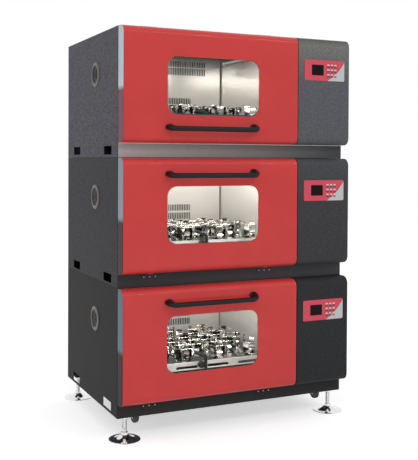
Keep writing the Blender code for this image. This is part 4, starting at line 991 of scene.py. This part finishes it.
def tray():
    inside = block((TRAY_LOW[0] + TRAY_SHEET, TRAY_LOW[1] + TRAY_SHEET, TRAY_LOW[2] - 0.01),
                   (TRAY_HIGH[0] - TRAY_SHEET, TRAY_HIGH[1] - TRAY_SHEET, TRAY_HIGH[2] - TRAY_SHEET))
    shape = combined(block(TRAY_LOW, TRAY_HIGH), inside)
    slots = [prism(rounded(x, 0.1645, x + 0.120, 0.1775, 0.0060, 5), "Y", TRAY_LOW[1] - 0.01,
                   TRAY_LOW[1] + 0.01) for x in TRAY_SLOTS]
    shape = combined(shape, gathered(*slots))
    # The top faces take the tray top's painted shade.
    for face in shape.faces:
        face.material_index = 1 if face.calc_center_median().z > TRAY_HIGH[2] - 0.0005 else 0
    hub = turned([(0.0115, 0.1623), (0.034, 0.1623), (0.034, 0.196), (0.0115, 0.196)], "Z",
                 0.470, 0.400, 40)
    return gathered(shape, hub)


tray_mesh = mesh_from(tray(), "tray", [tray_steel, tray_top_painted_shade])
for item in on_every_tier("tray", tray_mesh, "platform_", "platform_"):
    round_edges(item, 0.0018, 3)

# %% Clamp strip
ARM_LINE = [(0.006, 0.0015), (0.028, 0.0015), (0.040, 0.0025), (0.0480, 0.0065), (0.0535, 0.0145),
            (0.0560, 0.0250), (0.0562, 0.0370), (0.0548, 0.0500), (0.0538, 0.0610), (0.0545, 0.0680),
            (0.0570, 0.0722), (0.0600, 0.0720), (0.0615, 0.0680)]
ARM_WIDTH = 0.028
ARM_SHEET = 0.0012


def bent_strip(line, width, sheet):
    """A flat strip that follows a bent line of (reach, height) points."""
    rings = []
    for i, (reach, height) in enumerate(line):
        before, after = line[max(i - 1, 0)], line[min(i + 1, len(line) - 1)]
        way = Vector((after[0] - before[0], after[1] - before[1])).normalized()
        across = Vector((-way.y, way.x)) * sheet / 2
        rings.append([Vector((reach + side * across.x, edge * width / 2, height + side * across.y))
                      for side, edge in ((-1, -1), (-1, 1), (1, 1), (1, -1))])
    return lofted(rings)


def clamp():
    """One clamp about its own centre, with its underside at height zero."""
    base = turned([(0, 0), (0.043, 0), (0.043, 0.001), (0.042, 0.0016), (0, 0.0016)], "Z", 0, 0, 32)
    screw = turned([(0, 0.001), (0.0085, 0.001), (0.0085, 0.004), (0.006, 0.0062), (0, 0.0068)],
                   "Z", 0, 0, 16)
    arms = [bent_strip(ARM_LINE, ARM_WIDTH, ARM_SHEET) for _ in range(4)]
    for i, arm in enumerate(arms):
        arm.transform(Matrix.Rotation(math.radians(45 + 90 * i), 4, "Z"))
    return gathered(base, screw, *arms)


print("points along a clamp strip:", len(ARM_LINE))

# %% Clamps on the tray
CLAMP_STEP = 0.1928
FIRST_CLAMPS = (0.229, 0.1326)
CLAMP_ROWS = [0.1875 + 0.085 * row for row in range(6)]


def clamp_places():
    for row, y in enumerate(CLAMP_ROWS):
        for column in range(4):
            yield FIRST_CLAMPS[row % 2] + CLAMP_STEP * column, y


def all_clamps():
    single = bpy.data.meshes.new("clamp")
    clamp().to_mesh(single)
    shape = bmesh.new()
    for x, y in clamp_places():
        before = len(shape.verts)
        shape.from_mesh(single)
        shape.verts.ensure_lookup_table()
        bmesh.ops.translate(shape, verts=shape.verts[before:], vec=(x, y, TRAY_HIGH[2]))
    return shape


clamp_mesh = mesh_from(all_clamps(), "flask_clamps", [spring_steel], 40)
on_every_tier("flask_clamps", clamp_mesh, "platform_", "platform_")
print("clamps on a tray:", len(list(clamp_places())))

# %% [markdown]
# ### Wire rings
#
# Each clamp's wire runs straight behind every lip and straight from lip to lip, so it is an
# eight-sided ring. A curve with a round bevel is the natural form for bent wire.

# %% Wire rings
RING_RADIUS = 0.0578
RING_HEIGHT = 0.0670
WIRE_RADIUS = 0.0017


def wire_rings():
    wire = bpy.data.curves.new("clamp_rings", "CURVE")
    wire.dimensions = "3D"
    wire.bevel_depth = WIRE_RADIUS
    wire.bevel_resolution = 2
    half = math.degrees(math.atan2(ARM_WIDTH / 2, RING_RADIUS))
    for x, y in clamp_places():
        turns = [math.radians(45 + 90 * i + side * half) for i in range(4) for side in (-1, 1)]
        reach = math.hypot(RING_RADIUS, ARM_WIDTH / 2)
        spline = wire.splines.new("POLY")
        spline.points.add(len(turns) - 1)
        for point, turn in zip(spline.points, turns):
            point.co = (x + reach * math.cos(turn), y + reach * math.sin(turn),
                        TRAY_HIGH[2] + RING_HEIGHT, 1)
        spline.use_cyclic_u = True
    return wire


def mesh_of_curve(curve):
    """The solid wire as a mesh, so that the three tiers can share it."""
    item = added("wire", curve)
    graph = bpy.context.evaluated_depsgraph_get()
    mesh = bpy.data.meshes.new_from_object(item.evaluated_get(graph))
    bpy.data.objects.remove(item)
    bpy.data.curves.remove(curve)
    mesh.materials.clear()
    mesh.materials.append(wire_steel)
    mesh.shade_smooth()
    return mesh


ring_mesh = mesh_of_curve(wire_rings())
on_every_tier("clamp_rings", ring_mesh, "platform_")

# %% [markdown]
# ### Tray lock
#
# A black lever on the tray's front flange holds the tray on its carriage: a round hub, and a bent
# arm that is turned by hand.

# %% Tray lock
LOCK_X, LOCK_Z = 0.500, 0.181
LOCK_BACK, LOCK_FRONT = 0.1347, 0.1187
ARM_RADIUS = 0.008
ARM_SIDE = 0.025
BEND_WIDTH, BEND_HEIGHT = 0.012, 0.016
ARM_FOOT, ARM_BEND, ARM_TIP = -0.022, 0.030, 0.066
ARM_REACH = 0.040
WEB_HALF_DEPTH, WEB_HALF_HEIGHT = 0.004, 0.008


def tray_lock():
    hub = turned([(0, LOCK_FRONT), (0.0155, LOCK_FRONT), (0.018, LOCK_FRONT + 0.0025),
                  (0.018, LOCK_BACK), (0, LOCK_BACK)], "Y", LOCK_X, LOCK_Z, 40)
    middle = (LOCK_FRONT + LOCK_BACK) / 2
    places = [(ARM_SIDE, ARM_FOOT), (ARM_SIDE, ARM_BEND)]
    for turn in (math.radians(15 * i) for i in range(1, 6)):
        places.append((ARM_SIDE - BEND_WIDTH * (1 - math.cos(turn)),
                       ARM_BEND + BEND_HEIGHT * math.sin(turn)))
    places.append((-ARM_REACH, ARM_TIP))
    route = [Vector((LOCK_X + x, middle, LOCK_Z + z)) for x, z in places]
    rings = []
    for i, centre in enumerate(route):
        way = (route[min(i + 1, len(route) - 1)] - route[max(i - 1, 0)]).normalized()
        side = Vector((way.z, 0, -way.x))
        rings.append([centre + side * x + Vector((0, y, 0)) for x, y in ring(0, 0, ARM_RADIUS, 20)])
    web = block((LOCK_X, middle - WEB_HALF_DEPTH, LOCK_Z - WEB_HALF_HEIGHT),
                (LOCK_X + ARM_SIDE, middle + WEB_HALF_DEPTH, LOCK_Z + WEB_HALF_HEIGHT))
    return gathered(hub, web, lofted(rings))


lock_mesh = mesh_from(tray_lock(), "tray_lock", [lock_black], 45)
on_every_tier("tray_lock", lock_mesh, "tray_lock_", "tray_lock_")

# %% [markdown]
# ## Feet and casters
#
# The stack stands on four levelling feet: chromed bells whose sides sweep up to a neck, on a
# threaded stem with a nut at each end. The casters hang behind them, clear of the floor.

# %% Levelling feet
FLOOR = -STACK_CORNER.z
FOOT_PLACES = {"front_left": (0.050, 0.035), "front_right": (1.206, 0.035),
               "back_left": (0.050, 0.806), "back_right": (1.206, 0.806)}


def levelling_foot():
    bell = [(0, FLOOR), (0.0765, FLOOR), (0.078, FLOOR + 0.0015), (0.078, FLOOR + 0.0045),
            (0.0755, FLOOR + 0.0062)]
    for i in range(1, 11):
        share = i / 10
        bell.append((0.0755 - 0.0565 * share ** 0.72, FLOOR + 0.0062 + 0.0208 * share ** 1.9))
    neck = FLOOR + 0.027
    bell += [(0.016, neck + 0.001), (0, neck + 0.001)]
    stem = [(0, neck), (0.0098, neck)]
    pitch = 0.0025
    turns = int((0.054 - neck) / pitch)
    for i in range(turns):
        low = neck + i * pitch
        stem += [(0.0098, low + pitch * 0.1), (0.011, low + pitch * 0.5), (0.0098, low + pitch * 0.9)]
    stem += [(0.0098, 0.054), (0, 0.054)]
    nuts = [prism(ring(0, 0, 0.018, 6), "Z", low, low + 0.012) for low in (neck - 0.001, -0.0113)]
    return gathered(turned(bell, "Z", 0, 0, 72), turned(stem, "Z", 0, 0, 32), *nuts)


foot_mesh = mesh_from(levelling_foot(), "levelling_foot", [foot_chrome], 28)
for corner, (x, y) in FOOT_PLACES.items():
    foot = set_down(f"levelling_foot_{corner}", foot_mesh, f"foot_{corner}",
                    STACK_CORNER + Vector((x, y, 0)), (f"levelling_foot_{corner}",))
    round_edges(foot, 0.0006, 1, 50)
print("foot faces:", len(foot_mesh.polygons))

# %% Caster wheels
CASTER_PLACES = {"front_left": (0.114, 0.081), "front_right": (1.142, 0.081),
                 "back_left": (0.114, 0.760), "back_right": (1.142, 0.760)}
CASTER_TRAIL = 0.015
AXLE_HEIGHT = -0.017


def caster_wheel():
    profile = [(0.0056, -0.012), (0.013, -0.012), (0.015, -0.0095), (0.023, -0.0095),
               (0.025, -0.012), (0.0285, -0.012), (0.0310, -0.0100), (0.032, -0.0065),
               (0.032, 0.0065), (0.0310, 0.0100), (0.0285, 0.012), (0.025, 0.012),
               (0.023, 0.0095), (0.015, 0.0095), (0.013, 0.012), (0.0056, 0.012)]
    return turned(profile, "X", 0, 0, 56)


wheel_mesh = mesh_from(caster_wheel(), "caster_wheel", [tyre_rubber], 30)
for corner, (x, y) in CASTER_PLACES.items():
    set_down(f"caster_wheel_{corner}", wheel_mesh, f"wheel_{corner}",
             STACK_CORNER + Vector((x, y - CASTER_TRAIL, AXLE_HEIGHT)),
             (f"caster_wheel_{corner}",))
print("wheel faces:", len(wheel_mesh.polygons))

# %% [markdown]
# ## Small fittings
#
# Screws in the hinge leaves and the pins of the mains inlet are small, but a part without them
# looks like a toy from the back.

# %% Hinge screws
def screw_head(axis, u, v, surface, outward):
    """A low domed head; outward is 1 or -1 along the axis."""
    profile = [(0, 0.0022), (0.0011, 0.0021), (0.0026, 0.0014), (0.0030, 0.0006), (0.0030, -0.0004),
               (0, -0.0004)]
    return turned([(r, surface + outward * h) for r, h in profile], axis, u, v, 16)


SCREW_X = [x + step for x in HINGE_X for step in (-0.03, 0, 0.03)]
LOW_SCREW = (0.047, -0.002)
TOP_SCREW = (0.0365, 0.6217)
low_screws = [screw_head("Y", x, *LOW_SCREW, -1) for x in SCREW_X]
top_screws = [screw_head("Z", x, *TOP_SCREW, 1) for x in SCREW_X]
low_screw_mesh = mesh_from(gathered(*low_screws), "low_hinge_screws", [screw_steel], 50)
top_screw_mesh = mesh_from(gathered(*top_screws), "top_hinge_screws", [screw_steel], 50)
screw_meshes = (low_screw_mesh, low_screw_mesh, top_screw_mesh)
on_every_tier("hinge_screws", screw_meshes, "stack")
print("hinge screws:", len(low_screws) * 2 + len(top_screws))

# %% Mains inlet
INLET_X, INLET_Z = 1.136, 0.105
INLET_FRONT, INLET_BACK = 0.8152, 0.838
WELL_FLOOR = 0.820
PIN_END = 0.834
PIN_HALF_WIDTH, PIN_HALF_HEIGHT = 0.001, 0.002


def rounded_about(half_x, half_z, radius, steps):
    return rounded(INLET_X - half_x, INLET_Z - half_z, INLET_X + half_x, INLET_Z + half_z, radius,
                   steps)


def mains_inlet():
    body = prism(rounded_about(0.0265, 0.0125, 0.002, 3), "Y", INLET_FRONT, INLET_BACK)
    well = prism(rounded_about(0.0185, 0.0085, 0.004, 4), "Y", WELL_FLOOR, INLET_BACK + 0.012)
    body = combined(body, well)
    pins = []
    for step, z in ((-0.007, 0.103), (0, 0.1075), (0.007, 0.103)):
        x = INLET_X + step
        pins.append(in_finish(block((x - PIN_HALF_WIDTH, WELL_FLOOR - 0.0005, z - PIN_HALF_HEIGHT),
                                    (x + PIN_HALF_WIDTH, PIN_END, z + PIN_HALF_HEIGHT)), 1))
    return gathered(body, *pins)


inlet_mesh = mesh_from(mains_inlet(), "mains_inlet", [socket_black, screw_steel])
on_every_tier("mains_inlet", inlet_mesh, "stack")

# %% [markdown]
# ## Light inside the chambers
#
# Each chamber has a tube lamp high on its right wall, behind a clear cover. The tube only shows. An
# area light above the window, out of sight, does the real lighting, because it samples with less
# noise than a glowing mesh, and it faces the clamps, so that their front strips shine.

# %% Chamber lamps
LAMP_LOW, LAMP_HIGH = 0.5420, 0.5610
LAMP_START, LAMP_END = 0.3645, 0.6655
LAMP_FRONT, LAMP_WALL = 0.8825, 0.9049
END_RIM, END_HALF = 0.001, 0.005
TUBE_HALF = 0.005
UNLIT = (0.02, 0.02, 0.02)
LIGHT_SIZE = (0.70, 0.10)
LIGHT_PLACE = Vector((0.47, 0.08, 0.545))
LIGHT_TILT = 60
LIGHT_COLOUR = (1.0, 0.97, 0.92)


def area_light(name, place, width, height, energy):
    light = bpy.data.lights.new(name, "AREA")
    light.shape = "RECTANGLE"
    light.size, light.size_y = width, height
    light.energy = energy
    lamp = added(name, light)
    lamp.location = place
    return lamp


def lamp_glow(strength):
    """A clear cover with the glowing tube showing along its middle."""
    finish, shader = new_finish("lamp_glow", 0.3)
    middle = (LAMP_LOW + LAMP_HIGH) / 2
    glow = graded(finish, "Z", [(middle - TUBE_HALF, UNLIT), (middle, (0.62, 0.68, 0.66)),
                                (middle + TUBE_HALF, UNLIT)])
    shade = between(finish, noise(finish, 12), shown(150, 154, 150), shown(168, 172, 168))
    colour_by(finish, shader, shade)
    finish.node_tree.links.new(glow, shader.inputs["Emission Color"])
    shader.inputs["Emission Strength"].default_value = strength
    return finish


def lamp_cover():
    """The clear cover over the lamp, and the steel end that holds it on either side."""
    cover = prism(rounded(LAMP_FRONT, LAMP_LOW, LAMP_WALL, LAMP_HIGH, 0.0055, 4), "Y",
                  LAMP_START, LAMP_END)
    end_outline = rounded(LAMP_FRONT - END_RIM, LAMP_LOW - END_RIM, LAMP_WALL, LAMP_HIGH + END_RIM,
                          0.006, 4)
    ends = [in_finish(prism(end_outline, "Y", y - END_HALF, y + END_HALF), 1)
            for y in (LAMP_START, LAMP_END)]
    return gathered(cover, *ends)


lamp_mesh = mesh_from(lamp_cover(), "chamber_lamp", [lamp_glow(0.5), liner_steel])
on_every_tier("chamber_lamp", lamp_mesh, "stack")
LAMP_POWER = (4.80, 5.01, 2.71)
for level, power in enumerate(LAMP_POWER):
    place = tier_corner(level) + LIGHT_PLACE
    lamp = area_light(f"chamber_light_{TIERS[level]}", place, *LIGHT_SIZE, power)
    lamp.data.color = LIGHT_COLOUR
    lamp.rotation_euler = (math.radians(LIGHT_TILT), 0, 0)
print("chamber lamps:", len(LAMP_POWER))

# %% [markdown]
# ## Floor, light and camera
#
# The photograph has a plain white ground, so the floor and the world are white wherever the camera,
# a mirror or a glass sees them, and give plain soft light everywhere else. The floor still takes
# the stack's shadow.

# %% White where it is seen
def seen_share(tree):
    """1 for rays of the camera, of a mirror or of a glass, and 0 for the light on the object."""
    rays = tree.nodes.new("ShaderNodeLightPath")
    seen = rays.outputs["Is Camera Ray"]
    for kind in ("Is Glossy Ray", "Is Transmission Ray"):
        either = tree.nodes.new("ShaderNodeMath")
        either.operation = "MAXIMUM"
        tree.links.new(seen, either.inputs[0])
        tree.links.new(rays.outputs[kind], either.inputs[1])
        seen = either.outputs["Value"]
    return seen


# %% Floor
FLOOR_GLOW = 0.55


def floor_finish():
    finish = bpy.data.materials.new("pale_floor")
    finish.use_nodes = True
    tree = finish.node_tree
    shader = tree.nodes["Principled BSDF"]
    shader.inputs["Base Color"].default_value = (0.8, 0.8, 0.8, 1)
    shader.inputs["Roughness"].default_value = 0.9
    shader.inputs["Specular IOR Level"].default_value = 0.0
    shader.inputs["Emission Color"].default_value = (1, 1, 1, 1)
    tree.links.new(remapped(tree, seen_share(tree), 0, FLOOR_GLOW), shader.inputs["Emission Strength"])
    return finish


floor_shape = bmesh.new()
bmesh.ops.create_circle(floor_shape, cap_ends=True, segments=96, radius=14)
floor_mesh = mesh_from(floor_shape, "floor", [floor_finish()])
floor = added("floor", floor_mesh)
print("floor at height", floor.location.z)

# %% World
ROOM_LIGHT = 0.70
world = bpy.data.worlds.new("white_room")
scene.world = world
world.use_nodes = True
background = world.node_tree.nodes["Background"]
background.inputs["Color"].default_value = (1, 1, 1, 1)
strength = remapped(world.node_tree, seen_share(world.node_tree), ROOM_LIGHT, 1)
world.node_tree.links.new(strength, background.inputs["Strength"])
print("world light:", ROOM_LIGHT)

# %% Studio lights
STUDIO = (("front_strip", Vector((2.0, -7.5, 6.6)), Vector((0, -0.4, 1.3)), 9.0, 0.16, 130),
          ("left_fill", Vector((-5.5, -3.0, 3.2)), Vector((0, 0, 1.0)), 3.0, 3.0, 30))
for name, place, target, *light_values in STUDIO:
    lamp = area_light(name, place, *light_values)
    lamp.rotation_euler = (place - target).to_track_quat("Z", "Y").to_euler()
print("studio lights:", len(STUDIO))

# %% Camera
YAW, PITCH, ROLL = math.radians(24.649), math.radians(0.942), math.radians(0.258)
CAMERA_PLACE = (-1.9190, -4.0676, 1.3484)
forward = Vector((math.sin(YAW) * math.cos(PITCH), math.cos(YAW) * math.cos(PITCH), -math.sin(PITCH)))
level_right = Vector((math.cos(YAW), -math.sin(YAW), 0))
level_up = level_right.cross(forward)
right = math.cos(ROLL) * level_right + math.sin(ROLL) * level_up
up = -math.sin(ROLL) * level_right + math.cos(ROLL) * level_up
lens = bpy.data.cameras.new("camera")
lens.lens = 64.722
lens.sensor_fit = "VERTICAL"
lens.sensor_height = 36
lens.shift_x = 0.02935
lens.shift_y = -0.12500
camera = added("camera", lens)
turn = Matrix((right, up, -forward)).transposed().to_4x4()
camera.matrix_world = Matrix.Translation(CAMERA_PLACE) @ turn
scene.camera = camera
scene.view_settings.view_transform = "Standard"
print("camera", round(math.degrees(YAW), 2), "degrees round,", round(math.degrees(PITCH), 2), "down")
